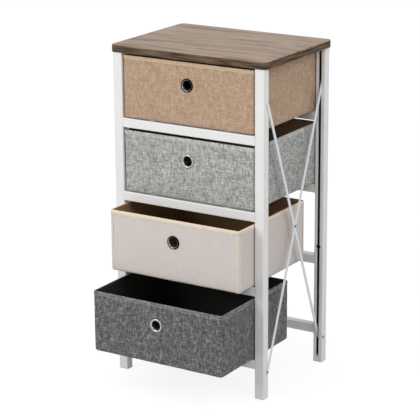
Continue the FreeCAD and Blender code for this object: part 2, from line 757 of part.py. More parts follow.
def make_wall_boards(tier):
    """The stiffeners of the two side walls and of the rear wall."""
    boards = []
    for side in (LEFT, RIGHT):
        middle = f"{side} * (sizes.drawer_width / 2 - sizes.outer_cloth - sizes.board_thickness / 2)"
        boards.append(make_stiffener(
            f"{SIDE_NAMES[side]}_sheet_{tier}", "sizes.board_thickness", BOARD_ALONG,
            f"{middle} - sizes.board_thickness / 2", f"-{BOARD_ALONG} / 2",
        ))
    boards.append(make_stiffener(
        f"rear_sheet_{tier}", BOARD_ACROSS, "sizes.board_thickness", f"-{BOARD_ACROSS} / 2",
        "sizes.drawer_depth / 2 - sizes.outer_cloth - sizes.board_thickness",
    ))
    return drawer_place(new_group(f"drawer_{tier}_wall_boards", boards), tier)


def make_base_board(tier):
    """Loose stiff sheet on the bin's floor, round at the corners."""
    body = new_body(f"drawer_{tier}_base_board")
    outline = new_sketch(body, "base_outline", lift="sizes.cover_base")
    draw_rounded_rectangle(
        outline, f"{INNER_WIDTH} - 2 * sizes.base_board_clearance",
        f"{INNER_DEPTH} - 2 * sizes.base_board_clearance", INNER_RADIUS,
    )
    pad(body, outline, "sizes.base_board_thickness")
    return drawer_place(body, tier)


def make_binding(tier):
    """Tape folded over the bin's rim, a channel that runs all round."""
    body = new_body(f"drawer_{tier}_binding")
    start = "(sizes.drawer_height - sizes.binding_height)"
    outside = new_sketch(body, "tape_outside", lift=start)
    draw_rounded_rectangle(
        outside, "sizes.drawer_width + 2 * sizes.binding_thickness",
        "sizes.drawer_depth + 2 * sizes.binding_thickness",
        "sizes.drawer_corner_radius + sizes.binding_thickness",
    )
    draw_rounded_rectangle(
        outside, f"{INNER_WIDTH} - 2 * sizes.binding_thickness",
        f"{INNER_DEPTH} - 2 * sizes.binding_thickness", f"{INNER_RADIUS} - sizes.binding_thickness",
    )
    pad(body, outside, "sizes.binding_height + sizes.binding_thickness")
    rim = new_sketch(body, "rim_channel", lift=start)
    draw_rounded_rectangle(rim, "sizes.drawer_width", "sizes.drawer_depth", "sizes.drawer_corner_radius")
    draw_rounded_rectangle(rim, INNER_WIDTH, INNER_DEPTH, INNER_RADIUS)
    pocket(body, rim, "sizes.binding_height", reverse=True)
    return drawer_place(body, tier)


def face_front(item, tier, ahead):
    """Turns a round piece's own +Z to the front and sets it on the eyelet's axis."""
    item.Placement = FreeCAD.Placement(Vector(0, 0, 0), Rotation(Vector(1, 0, 0), 90))
    return drawer_place(item, tier, ahead, EYELET_Z)


def make_eyelet(tier):
    """Rolled metal eyelet: a sloping rim outside, a barrel through the wall and a lip inside."""
    body = new_body(f"drawer_{tier}_eyelet")
    half_profile = new_sketch(body, "eyelet_profile", "XZ_Plane")
    hole = "sizes.eyelet_hole_diameter / 2"
    rim = "sizes.eyelet_outer_diameter / 2"
    rim_face = "sizes.eyelet_rim_height"
    back = f"-({DRAWER_WALL} + sizes.washer_thickness)"
    lip = f"({EYELET_BARREL} + sizes.eyelet_lip_width)"
    draw_profile(half_profile, [
        (hole, rim_face),
        (f"{rim} - sizes.eyelet_rim_bevel", rim_face),
        (rim, "0"),
        (EYELET_BARREL, "0"),
        (EYELET_BARREL, back),
        (lip, back),
        (lip, f"{back} - sizes.eyelet_lip_height"),
        (hole, f"{back} - sizes.eyelet_lip_height"),
    ])
    revolve(body, half_profile)
    return face_front(body, tier, "-sizes.drawer_depth / 2")


def make_washer(tier):
    """Flat ring between the lining and the eyelet's lip."""
    disc = new_cylinder(f"washer_disc_{tier}", "sizes.washer_diameter / 2", "sizes.washer_thickness")
    hole = new_cylinder(f"washer_hole_{tier}", WALL_HOLE, "3 * sizes.washer_thickness")
    place(hole, z="-sizes.washer_thickness")
    washer = new_cut(f"drawer_{tier}_eyelet_washer", disc, hole)
    return face_front(washer, tier, f"{DRAWER_WALL} + sizes.washer_thickness - sizes.drawer_depth / 2")


# The assembly, from the floor up

CORNERS = [(side, end) for end in (FRONT, REAR) for side in (LEFT, RIGHT)]

subparts = []
for side, end in CORNERS:
    subparts.append(make_foot_plug(side, end))
    subparts.append(make_post(side, end))
for end in (FRONT, REAR):
    for tier in TIERS:
        subparts.append(make_crossbar(tier, end))
for tier in TIERS:
    subparts.append(new_group(f"drawer_runners_{tier}", [make_runner(tier, LEFT), make_runner(tier, RIGHT)]))
for side in (LEFT, RIGHT):
    subparts.append(make_brace_bar(side, rising=True))
    subparts.append(make_brace_bar(side, rising=False))
subparts.append(make_pivot_rivets())
subparts.append(make_top_screws())
subparts.append(make_centre_rivets())
subparts.append(new_group("brace_sliders", [make_slider(side) for side in (LEFT, RIGHT)]))
subparts.append(make_tie_rivets())
subparts.append(new_group("top_plugs", [make_top_plug(side, end) for side, end in CORNERS]))
subparts.append(make_pegs())
subparts.append(make_top_board())
for tier in TIERS:
    subparts.append(make_cover(tier))
    subparts.append(make_front_board(tier))
    subparts.append(make_wall_boards(tier))
    subparts.append(make_base_board(tier))
    subparts.append(make_binding(tier))
    subparts.append(make_eyelet(tier))
    subparts.append(make_washer(tier))

doc.recompute()

# Checks, then one file for each sub-part

for item in doc.Objects:
    if "Invalid" in item.State or "Error" in item.State:
        raise RuntimeError(f"{item.Label} failed: {item.State}")
    if item.TypeId == "PartDesign::Pocket":
        cut_away = item.BaseFeature.Shape.Volume - item.Shape.Volume
        if cut_away <= 0:
            raise RuntimeError(f"{item.Label} cuts nothing")
for item in subparts:
    if item.Shape.isNull() or not item.Shape.isValid():
        raise RuntimeError(f"{item.Label} has no valid shape")

os.makedirs("parts", exist_ok=True)
for item in subparts:
    item.Shape.exportStep(f"parts/{item.Label}.step")
    print(f"{item.Label}: {len(item.Shape.Solids)} solids, {item.Shape.Volume / 1000:.1f} cm3")
print(f"{len(subparts)} nodes")
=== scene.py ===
import math

import bmesh
import bpy
from mathutils import Matrix, Vector


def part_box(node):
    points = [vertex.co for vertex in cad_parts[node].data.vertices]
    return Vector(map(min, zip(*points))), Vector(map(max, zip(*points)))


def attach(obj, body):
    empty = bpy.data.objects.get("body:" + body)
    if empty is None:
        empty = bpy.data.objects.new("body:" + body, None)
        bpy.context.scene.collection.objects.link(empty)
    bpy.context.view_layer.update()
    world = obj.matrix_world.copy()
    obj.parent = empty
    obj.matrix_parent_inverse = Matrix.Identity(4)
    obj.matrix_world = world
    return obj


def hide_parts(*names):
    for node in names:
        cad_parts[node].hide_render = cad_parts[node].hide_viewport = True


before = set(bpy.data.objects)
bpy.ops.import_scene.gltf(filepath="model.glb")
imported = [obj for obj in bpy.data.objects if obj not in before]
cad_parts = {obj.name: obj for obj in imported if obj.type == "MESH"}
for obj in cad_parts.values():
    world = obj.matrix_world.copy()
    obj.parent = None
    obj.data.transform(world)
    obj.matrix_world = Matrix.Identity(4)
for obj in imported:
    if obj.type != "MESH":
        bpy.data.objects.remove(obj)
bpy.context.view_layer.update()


# The camera stands to the right of the front and a little above the top, as in the photograph.
# A long lens, tilted by less than half a degree, with the whole unit in a square picture.

CAMERA_AZIMUTH = math.radians(32.02)
CAMERA_ELEVATION = math.radians(16.45)
CAMERA_ROLL = math.radians(-0.39)
CAMERA_DISTANCE = 4.332
CAMERA_TARGET = Vector((-0.035, 0.0, 0.3868))
FOCAL_PIXELS = 1806.3
PICTURE_PIXELS = 420
SENSOR_MM = 36.0
FARTHEST_SEEN = 60.0

away = Vector((
    math.sin(CAMERA_AZIMUTH) * math.cos(CAMERA_ELEVATION),
    -math.cos(CAMERA_AZIMUTH) * math.cos(CAMERA_ELEVATION),
    math.sin(CAMERA_ELEVATION),
))
level_right = Vector((0, 0, 1)).cross(away).normalized()
level_up = away.cross(level_right)
camera_right = level_right * math.cos(CAMERA_ROLL) + level_up * math.sin(CAMERA_ROLL)
camera_up = level_up * math.cos(CAMERA_ROLL) - level_right * math.sin(CAMERA_ROLL)

bpy.ops.object.select_all(action="DESELECT")
bpy.ops.object.camera_add()
camera = bpy.context.object
turn = Matrix((camera_right, camera_up, away)).transposed().to_4x4()
camera.matrix_world = Matrix.Translation(CAMERA_TARGET + away * CAMERA_DISTANCE) @ turn
camera.data.sensor_fit = "HORIZONTAL"
camera.data.sensor_width = SENSOR_MM
camera.data.lens = FOCAL_PIXELS * SENSOR_MM / PICTURE_PIXELS
camera.data.clip_end = FARTHEST_SEEN
bpy.context.scene.camera = camera


# Posts, crossbars and runners: roll-formed channel, square tube and flat strip of mild steel, welded
# into two ladders and sprayed white. The powder coat is satin, with a faint orange peel, and hardly any
# of it reaches the inside of the posts. Their inside and their slots' cut edges get a dark brown that is
# partly the unpainted steel and partly painted shade, so that the slots show dark.

FRAME_WHITE = "E7E7E6"
FRAME_WHITE_SHADE = "DEDEDD"
# Partly the unpainted steel inside the posts, partly painted shade that keeps the slots dark.
UNPAINTED_STEEL_AND_SHADE = "4A3A31"
POST_WALL = 0.0012
HALF_SLOT = 0.003
PAST_EDGE = 0.00002
CLOUD_MM = 111.0
PEEL_MM = 2.2
PEEL_DEPTH = 0.00008


def linear(code):
    """An sRGB hex colour as the linear values that a shader takes."""
    channels = [int(code[place:place + 2], 16) / 255 for place in (0, 2, 4)]
    return [c / 12.92 if c <= 0.04045 else ((c + 0.055) / 1.055) ** 2.4 for c in channels] + [1.0]


def add_node(tree, kind, inputs=None, **settings):
    """One node; each input gets a value or the output that feeds it."""
    node = tree.nodes.new(kind)
    for name, value in settings.items():
        setattr(node, name, value)
    for name, value in (inputs or {}).items():
        if isinstance(value, bpy.types.NodeSocket):
            tree.links.new(value, node.inputs[name])
        else:
            node.inputs[name].default_value = value
    return node


def new_finish(name, **settings):
    """A material with its shader's own values set, and its Object coordinates."""
    material = bpy.data.materials.new(name)
    material.use_nodes = True
    tree = material.node_tree
    shader = tree.nodes["Principled BSDF"]
    for socket, value in settings.items():
        shader.inputs[socket.replace("_", " ")].default_value = value
    place = add_node(tree, "ShaderNodeTexCoord").outputs["Object"]
    return material, tree, shader, place


def powder_coat(name, light, shade):
    """Sprayed and baked polyester powder: even colour, satin gloss, orange peel in the light."""
    material, tree, shader, place = new_finish(name, Roughness=0.38, IOR=1.5)
    cloudy = add_node(tree, "ShaderNodeTexNoise", {
        "Vector": place, "Scale": 1000 / CLOUD_MM, "Detail": 2.0,
    })
    tone = add_node(tree, "ShaderNodeMix", {
        "Factor": cloudy.outputs["Fac"], 6: linear(shade), 7: linear(light),
    }, data_type="RGBA")
    peel = add_node(tree, "ShaderNodeTexNoise", {
        "Vector": place, "Scale": 1000 / PEEL_MM, "Detail": 1.0,
    })
    bump = add_node(tree, "ShaderNodeBump", {
        "Height": peel.outputs["Fac"], "Strength": 0.25, "Distance": PEEL_DEPTH,
    })
    tree.links.new(tone.outputs[2], shader.inputs["Base Color"])
    tree.links.new(bump.outputs["Normal"], shader.inputs["Normal"])
    return material


def dress(material, *names):
    """Gives CAD nodes a finish; their shapes stay as they are."""
    for name in names:
        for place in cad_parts[name].material_slots:
            place.material = material


def darken_post_inside_and_slot_edges(material, corner):
    """Gives a coat a dark brown inside a post, on any side, and on its slot's cut edges.

    The brown is partly the unpainted steel and partly painted shade.
    """
    low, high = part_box(f"{corner}_post")
    middle_x = abs(low.x + high.x) / 2
    middle_y = abs(low.y + high.y) / 2
    inner_x = (high.x - low.x - POST_WALL) / 2
    inner_y = (high.y - low.y - POST_WALL) / 2
    tree = material.node_tree
    shader = tree.nodes["Principled BSDF"]
    coat = shader.inputs["Base Color"].links[0].from_socket
    place = add_node(tree, "ShaderNodeTexCoord").outputs["Object"]
    parts = add_node(tree, "ShaderNodeSeparateXYZ", {"Vector": place})
    from_centre = {}
    from_post = {}
    for axis, middle in (("X", middle_x), ("Y", middle_y)):
        side = add_node(tree, "ShaderNodeMath", {0: parts.outputs[axis]}, operation="ABSOLUTE")
        offset = add_node(tree, "ShaderNodeMath", {
            0: side.outputs["Value"], 1: middle,
        }, operation="SUBTRACT")
        distance = add_node(tree, "ShaderNodeMath", {0: offset.outputs["Value"]}, operation="ABSOLUTE")
        from_centre[axis] = side.outputs["Value"]
        from_post[axis] = distance.outputs["Value"]
    dark_masks = []
    for across, half_width, along, reach in (
        (from_post["X"], inner_x, from_post["Y"], inner_y),
        (from_post["X"], HALF_SLOT + PAST_EDGE, from_centre["Y"], middle_y),
    ):
        narrow = add_node(tree, "ShaderNodeMath", {0: across, 1: half_width}, operation="LESS_THAN")
        inward = add_node(tree, "ShaderNodeMath", {0: along, 1: reach}, operation="LESS_THAN")
        dark_masks.append(add_node(tree, "ShaderNodeMath", {
            0: narrow.outputs["Value"], 1: inward.outputs["Value"],
        }, operation="MULTIPLY").outputs["Value"])
    within = add_node(tree, "ShaderNodeMath", {0: dark_masks[0], 1: dark_masks[1]}, operation="MAXIMUM")
    # Painted shade: the dark brown replaces the coat inside the posts and on the slots' cut edges.
    tone = add_node(tree, "ShaderNodeMix", {
        "Factor": within.outputs["Value"], 6: coat, 7: linear(UNPAINTED_STEEL_AND_SHADE),
    }, data_type="RGBA")
    tree.links.new(tone.outputs[2], shader.inputs["Base Color"])


ENDS = ("front", "rear")
SIDES = ("left", "right")
CORNERS = [f"{end}_{side}" for end in ENDS for side in SIDES]
TIERS = (1, 2, 3, 4)

frame_steel = powder_coat("powder_coated_steel", FRAME_WHITE, FRAME_WHITE_SHADE)
channel_steel = powder_coat("powder_coated_channel", FRAME_WHITE, FRAME_WHITE_SHADE)
darken_post_inside_and_slot_edges(channel_steel, "front_right")
dress(channel_steel, *[f"{corner}_post" for corner in CORNERS])
dress(frame_steel, *[f"{end}_crossbar_{tier}" for end in ENDS for tier in TIERS])
dress(frame_steel, *[f"drawer_runners_{tier}" for tier in TIERS])


# Feet: injection-moulded polypropylene, pushed into the channels. The plastic is a little warmer and
# duller than the paint, with a fine spark-eroded grain.

PLASTIC_WHITE = "E6E5E2"
PLASTIC_SHADE = "DEDDDA"
GRAIN_MM = 0.6
GRAIN_DEPTH = 0.00005

moulded_plastic, tree, shader, place = new_finish("moulded_polypropylene", Roughness=0.5, IOR=1.49)
grain = add_node(tree, "ShaderNodeTexNoise", {"Vector": place, "Scale": 1000 / GRAIN_MM, "Detail": 2.0})
tone = add_node(tree, "ShaderNodeMix", {
    "Factor": grain.outputs["Fac"], 6: linear(PLASTIC_SHADE), 7: linear(PLASTIC_WHITE),
}, data_type="RGBA")
bump = add_node(tree, "ShaderNodeBump", {
    "Height": grain.outputs["Fac"], "Strength": 0.3, "Distance": GRAIN_DEPTH,
})
tree.links.new(tone.outputs[2], shader.inputs["Base Color"])
tree.links.new(bump.outputs["Normal"], shader.inputs["Normal"])
dress(moulded_plastic, *[f"{corner}_foot" for corner in CORNERS])


# Crossed braces: four punched flat bars in a cooler white, and the black nylon blocks in the rear posts'
# channels that hold the rising bars' upper ends. The bluish tint of the bars' white is painted light, the
# cool cast that thin bars take on when seen from the side. The bars are tumbled, then powder-coated. The
# plugs in the posts' upper ends are moulded from the same black nylon.

# Both tones carry a bluish tint that is painted light.
BRACE_WHITE = "E4E9EF"
BRACE_WHITE_SHADE = "DAE1E9"
NYLON_BLACK = "141414"
NYLON_SCUFFED = "2A2A2B"
SCUFF_MM = 3.85

brace_steel = powder_coat("powder_coated_bar", BRACE_WHITE, BRACE_WHITE_SHADE)
for side in SIDES:
    dress(brace_steel, f"{side}_rising_brace_bar", f"{side}_falling_brace_bar")

# Moulded nylon: a dull gloss, and grey scuffs where it has rubbed on the steel.
black_nylon, tree, shader, place = new_finish("black_nylon", Roughness=0.45, IOR=1.53)
scuffs = add_node(tree, "ShaderNodeTexNoise", {"Vector": place, "Scale": 1000 / SCUFF_MM, "Detail": 4.0})
tone = add_node(tree, "ShaderNodeMix", {
    "Factor": scuffs.outputs["Fac"], 6: linear(NYLON_BLACK), 7: linear(NYLON_SCUFFED),
}, data_type="RGBA")
tree.links.new(tone.outputs[2], shader.inputs["Base Color"])
dress(black_nylon, "brace_sliders", "top_plugs")


# Rivets and screws: plated rivets with a low domed head, set cold through the bars and posts, a broader
# dark one across each rear slot, and two cross-recessed screws, coated like the frame, that hold the
# falling bars' upper ends.

# The profiles, shanks, grips and the screws' lengths are in millimetres, as turned_piece takes them.
RIVET_SEGMENTS = 24
RIVET_HEAD = [(0.0, 1.8), (1.2, 1.7), (2.3, 1.35), (3.05, 0.75), (3.42, 0.25), (3.5, 0.0)]
TIE_HEAD = [(0.0, 1.8), (2.0, 1.72), (3.7, 1.4), (4.7, 0.8), (5.15, 0.25), (5.25, 0.0)]
HEAD_HEIGHT = RIVET_HEAD[0][1] / 1000
RIVET_HEAD_RADIUS = RIVET_HEAD[-1][0] / 1000
TIE_HEAD_RADIUS = TIE_HEAD[-1][0] / 1000
SHANK = 2.5
SET_END = 3.0
TIE_SHANK = 2.2
TIE_SET_END = 3.7
FRONT_GRIP = 3.4
REAR_GRIP = 24.0
CENTRE_GRIP = 3.8
TIE_GRIP = 1.2
SCREW_REACH = 5.0
SCREW_TIP = 1.25
RECESS_ARM = (0.0036, 0.0008, 0.0022)
RECESS_MIDDLE = 0.0016
PATCH_MM = 2.38
SMOOTH_ANGLE = math.radians(40)
SAME_SPOT = 0.00001


def turned_piece(name, profile, segments):
    """Spins a profile of radius and height, in millimetres, a full turn about Z."""
    bpy.ops.object.select_all(action="DESELECT")
    bpy.ops.mesh.primitive_plane_add(size=0.001, location=(0, 0, 0))
    piece = bpy.context.object
    piece.name = name
    piece.data.name = name
    bpy.ops.object.mode_set(mode="EDIT")
    bpy.ops.mesh.select_mode(type="VERT")
    bpy.ops.mesh.select_all(action="SELECT")
    bpy.ops.mesh.merge(type="CENTER")
    bpy.ops.transform.translate(value=(profile[0][0] / 1000, 0, profile[0][1] / 1000))
    for start, end in zip(profile, profile[1:]):
        step = ((end[0] - start[0]) / 1000, 0, (end[1] - start[1]) / 1000)
        bpy.ops.mesh.extrude_vertices_move(TRANSFORM_OT_translate={"value": step})
    bpy.ops.mesh.select_all(action="SELECT")
    bpy.ops.mesh.spin(steps=segments, angle=math.tau, center=(0, 0, 0), axis=(0, 0, 1))
    bpy.ops.mesh.select_all(action="SELECT")
    bpy.ops.mesh.remove_doubles(threshold=SAME_SPOT)
    bpy.ops.mesh.normals_make_consistent(inside=False)
    bpy.ops.object.mode_set(mode="OBJECT")
    bpy.ops.object.shade_smooth_by_angle(angle=SMOOTH_ANGLE)
    return piece


def copy_in_place(piece, name, direction, location):
    """A copy with its own mesh, its +Z turned to a direction and set at a point in metres."""
    twin = piece.copy()
    twin.data = piece.data.copy()
    twin.name = name
    twin.data.name = name
    bpy.context.scene.collection.objects.link(twin)
    turn = Vector((0, 0, 1)).rotation_difference(Vector(direction)).to_matrix().to_4x4()
    twin.data.transform(Matrix.Translation(Vector(location)) @ turn)
    return twin


def on_both_sides(pattern, name, direction, location):
    """A copy on the left of the unit and one on the right, from the right one's direction and place."""
    copies = []
    for side in (-1, 1):
        facing = (side * direction[0], direction[1], direction[2])
        spot = (side * location[0], location[1], location[2])
        copies.append(copy_in_place(pattern, name, facing, spot))
    return copies


def join_pieces(name, pieces):
    """Several copies as one object, each still a closed shell of its own."""
    bpy.ops.object.select_all(action="DESELECT")
    for piece in pieces:
        piece.select_set(True)
    bpy.context.view_layer.objects.active = pieces[0]
    bpy.ops.object.join()
    joined = bpy.context.object
    joined.name = name
    joined.data.name = name
    return joined


def rivet_profile(head, shank, grip, tail):
    """Head above 0, shank through the grip, and the set end below it."""
    return head + [
        (shank, 0.0), (shank, -grip), (tail, -grip), (tail - 0.2, -grip - 0.6), (0.0, -grip - 0.8),
    ]


def select_only(piece):
    """Selects one piece and makes it the active one."""
    bpy.ops.object.select_all(action="DESELECT")
    piece.select_set(True)
    bpy.context.view_layer.objects.active = piece


def apply_modifier(piece, kind, **settings):
    """Adds a modifier with its settings and applies it."""
    select_only(piece)
    modifier = piece.modifiers.new(kind.lower(), kind)
    for name, value in settings.items():
        setattr(modifier, name, value)
    bpy.ops.object.modifier_apply(modifier=modifier.name)


def give_finish(piece, *materials):
    """Gives a new piece its materials, in the order of its faces' numbers."""
    piece.data.materials.clear()
    for material in materials:
        piece.data.materials.append(material)


def plated_metal(name, light, dark, roughness):
    """Steel or brass, pressed and plated in a drum: metallic, with small clouded patches in its gloss."""
    material, tree, shader, place = new_finish(name, Metallic=1.0, Roughness=roughness)
    patches = add_node(tree, "ShaderNodeTexNoise", {
        "Vector": place, "Scale": 1000 / PATCH_MM, "Detail": 3.0,
    })
    tone = add_node(tree, "ShaderNodeMix", {
        "Factor": patches.outputs["Fac"], 6: linear(dark), 7: linear(light),
    }, data_type="RGBA")
    gloss = add_node(tree, "ShaderNodeMapRange", {
        "Value": patches.outputs["Fac"], "To Min": roughness - 0.08, "To Max": roughness + 0.1,
    })
    tree.links.new(tone.outputs[2], shader.inputs["Base Color"])
    tree.links.new(gloss.outputs["Result"], shader.inputs["Roughness"])
    return material


zinc_plate = plated_metal("zinc_plated_steel", "C9CACB", "A9ABAD", 0.34)
# A darker zinc plate, for the pivot and centre rivets.
darker_zinc = plated_metal("darker_zinc_plate", "7C7C72", "5C5B53", 0.42)
# Dark brown, for the broad rivets across the rear slots.
dark_steel = plated_metal("dark_brown_steel", "352B28", "1D1716", 0.45)

frame_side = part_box("front_right_post")[1].x
pivot_low, pivot_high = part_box("brace_pivot_rivets")
pivot_y = (pivot_high.y - pivot_low.y) / 2 - RIVET_HEAD_RADIUS
pivot_z = (pivot_high.z + pivot_low.z) / 2
front_seat = pivot_high.x - HEAD_HEIGHT
front_pivot = turned_piece(
    "front_pivot", rivet_profile(RIVET_HEAD, SHANK, FRONT_GRIP, SET_END), RIVET_SEGMENTS,
)
rear_pivot = turned_piece(
    "rear_pivot", rivet_profile(RIVET_HEAD, SHANK, REAR_GRIP, SET_END), RIVET_SEGMENTS,
)
pivots = on_both_sides(front_pivot, "pivot", (1, 0, 0), (front_seat, -pivot_y, pivot_z))
pivots += on_both_sides(rear_pivot, "pivot", (1, 0, 0), (frame_side, pivot_y, pivot_z))
brace_pivots = join_pieces("pivot_rivets", pivots)

centre_low, centre_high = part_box("brace_centre_rivets")
centre_x = centre_high.x - HEAD_HEIGHT
centre_z = (centre_high.z + centre_low.z) / 2
centre_rivet = turned_piece(
    "centre_rivet", rivet_profile(RIVET_HEAD, SHANK, CENTRE_GRIP, SET_END), RIVET_SEGMENTS,
)
centres = on_both_sides(centre_rivet, "centre", (1, 0, 0), (centre_x, 0, centre_z))
brace_centres = join_pieces("centre_rivets", centres)

tie_low, tie_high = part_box("slot_tie_rivets")
tie_x = tie_high.x - TIE_HEAD_RADIUS
tie_z = (tie_high.z + tie_low.z) / 2
tie_rivet = turned_piece(
    "tie_rivet", rivet_profile(TIE_HEAD, TIE_SHANK, TIE_GRIP, TIE_SET_END), RIVET_SEGMENTS,
)
ties = on_both_sides(tie_rivet, "tie", (0, -1, 0), (tie_x, tie_low.y + HEAD_HEIGHT, tie_z))
slot_ties = join_pieces("tie_rivets", ties)

screw_low, screw_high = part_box("brace_top_screws")
screw_x = screw_high.x - HEAD_HEIGHT
screw_y = (screw_low.y + screw_high.y) / 2
screw_z = (screw_low.z + screw_high.z) / 2
screw_end = -FRONT_GRIP - SCREW_REACH
top_screw = turned_piece(
    "top_screw",
    RIVET_HEAD + [(SHANK, 0.0), (SHANK, screw_end + SCREW_TIP), (SCREW_TIP, screw_end), (0.0, screw_end)],
    RIVET_SEGMENTS,
)
for turn in (0, math.pi / 2):
    bpy.ops.object.select_all(action="DESELECT")
    bpy.ops.mesh.primitive_cube_add(size=1, location=(0, 0, RECESS_MIDDLE), rotation=(0, 0, turn))
    recess = bpy.context.object
    recess.scale = RECESS_ARM
    apply_modifier(top_screw, "BOOLEAN", operation="DIFFERENCE", object=recess, solver="EXACT")
    bpy.data.objects.remove(recess)
screws = on_both_sides(top_screw, "screw", (1, 0, 0), (screw_x, screw_y, screw_z))
upper_screws = join_pieces("upper_screws", screws)

for pattern in (front_pivot, rear_pivot, centre_rivet, tie_rivet, top_screw):
    bpy.data.objects.remove(pattern)
for piece, node, material, finish in (
    (brace_pivots, "brace_pivot_rivets", darker_zinc, "zinc_plated_steel"),
    (brace_centres, "brace_centre_rivets", darker_zinc, "zinc_plated_steel"),
    (slot_ties, "slot_tie_rivets", dark_steel, "dark_steel"),
    (upper_screws, "brace_top_screws", frame_steel, "frame_steel"),
):
    give_finish(piece, material)
    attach(piece, "frame")
    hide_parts(node)


# The top: an 18 mm particle board wrapped in a printed oak-look foil, round at the corners and softly
# rounded over its upper edge. The band round its edge is a darker strip of the same print, and much of
# its darkness is painted shade for the upright edge, which gets less light.

BOARD_CORNER = 0.012
BOARD_ROUNDING = 0.002
BOARD_LOWER_BEVEL = 0.0015
FOIL_LIGHT = "A58F7A"
FOIL_MIDDLE = "957F6A"
FOIL_DARK = "7A6450"
FOIL_PORE = "6E5A48"
# Darker than the print alone: painted shade for the upright edge.
BAND_LIGHT = "786350"
BAND_DARK = "322922"
STREAK_MM = 14.3
STREAK_LENGTH_MM = 250.0
SWAY_MM = 333.0
PORE_MM = 1.56
PORE_LENGTH_MM = 45.5
PORE_DEPTH = 0.0001
BAND_STREAK_MM = 4.167
BAND_STREAK_LENGTH_MM = 71.4
BEECH_LIGHT = "D0A878"
BEECH_DARK = "B58A5E"
BEECH_FLECK_MM = 1.1
BEECH_FLECK_LENGTH_MM = 11.0


def new_block(name, low, high):
    """A cube between two corners, to be shaped in edit mode."""
    bpy.ops.object.select_all(action="DESELECT")
    bpy.ops.mesh.primitive_cube_add(size=1, location=(Vector(low) + Vector(high)) / 2)
    block = bpy.context.object
    block.name = name
    block.data.name = name
    block.scale = Vector(high) - Vector(low)
    bpy.ops.object.transform_apply(location=True, rotation=True, scale=True)
    return block


def pick(piece, kind, test):
    """In edit mode, selects only the faces or edges that pass a test."""
    bpy.ops.mesh.select_all(action="DESELECT")
    bpy.ops.mesh.select_mode(type=kind)
    cage = bmesh.from_edit_mesh(piece.data)
    for part in (cage.faces if kind == "FACE" else cage.edges):
        if test(part):
            part.select_set(True)
    bmesh.update_edit_mesh(piece.data)


def is_upright(edge):
    """Whether an edge runs straight up, and is not one of the tiny ones in a rounding."""
    a, b = (vertex.co for vertex in edge.verts)
    return abs(a.z - b.z) > 0.001 and abs(a.x - b.x) + abs(a.y - b.y) < SAME_SPOT


def round_upright_edges(piece, radius, segments):
    """Rounds a block's four upright corners, in edit mode."""
    pick(piece, "EDGE", is_upright)
    bpy.ops.mesh.bevel(offset=radius, segments=segments, affect="EDGES")


def round_rim(piece, height, radius, segments):
    """Rounds the outline that lies at one height, in edit mode."""
    def at_height(edge):
        on_level = all(abs(vertex.co.z - height) < SAME_SPOT for vertex in edge.verts)
        return on_level and any(abs(face.normal.z) < 0.5 for face in edge.link_faces)
    pick(piece, "EDGE", at_height)
    bpy.ops.mesh.bevel(offset=radius, segments=segments, affect="EDGES")


board_low, board_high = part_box("top_board")
wooden_top = new_block("wooden_top", board_low, board_high)
bpy.ops.object.mode_set(mode="EDIT")
round_upright_edges(wooden_top, BOARD_CORNER, segments=12)
round_rim(wooden_top, board_high.z, BOARD_ROUNDING, segments=5)
round_rim(wooden_top, board_low.z, BOARD_LOWER_BEVEL, segments=2)
bpy.ops.object.mode_set(mode="OBJECT")
bpy.ops.object.shade_smooth_by_angle(angle=SMOOTH_ANGLE)

# Printed oak foil: the grain runs along the length, in streaks some 14 mm wide and 250 mm long, coarser
# than the real print so that they show, and winds a little. Darker pores lie along it.
printed_foil, tree, shader, place = new_finish("printed_oak_foil", Roughness=0.46, IOR=1.5)
long_grain = add_node(tree, "ShaderNodeMapping", {
    "Vector": place, "Scale": (1000 / STREAK_LENGTH_MM, 1000 / STREAK_MM, 1000 / STREAK_MM),
})
sway = add_node(tree, "ShaderNodeTexNoise", {"Vector": place, "Scale": 1000 / SWAY_MM, "Detail": 1.0})
winding = add_node(tree, "ShaderNodeVectorMath", {
    0: sway.outputs["Color"], "Scale": 2.0,
}, operation="SCALE")
bent = add_node(tree, "ShaderNodeVectorMath", {
    0: long_grain.outputs["Vector"], 1: winding.outputs["Vector"],
}, operation="ADD")
streaks = add_node(tree, "ShaderNodeTexNoise", {
    "Vector": bent.outputs["Vector"], "Scale": 1.0, "Detail": 5.0, "Roughness": 0.62,
})
fine_grain = add_node(tree, "ShaderNodeMapping", {
    "Vector": place, "Scale": (1000 / PORE_LENGTH_MM, 1000 / PORE_MM, 1000 / PORE_MM),
})
pores = add_node(tree, "ShaderNodeTexNoise", {
    "Vector": fine_grain.outputs["Vector"], "Scale": 1.0, "Detail": 3.0,
})
figure = add_node(tree, "ShaderNodeValToRGB", {"Fac": streaks.outputs["Fac"]})
figure.color_ramp.elements[0].position = 0.4
figure.color_ramp.elements[0].color = linear(FOIL_DARK)
figure.color_ramp.elements[1].position = 0.58
figure.color_ramp.elements[1].color = linear(FOIL_LIGHT)
figure.color_ramp.elements.new(0.47).color = linear(FOIL_MIDDLE)
pore_share = add_node(tree, "ShaderNodeMapRange", {
    "Value": pores.outputs["Fac"], "From Min": 0.54, "From Max": 0.7, "To Min": 0.0, "To Max": 0.6,
})
wood_tone = add_node(tree, "ShaderNodeMix", {
    "Factor": pore_share.outputs["Result"], 6: figure.outputs["Color"], 7: linear(FOIL_PORE),
}, data_type="RGBA")
relief = add_node(tree, "ShaderNodeBump", {
    "Height": pores.outputs["Fac"], "Strength": 0.25, "Distance": PORE_DEPTH,
})
tree.links.new(wood_tone.outputs[2], shader.inputs["Base Color"])
tree.links.new(relief.outputs["Normal"], shader.inputs["Normal"])
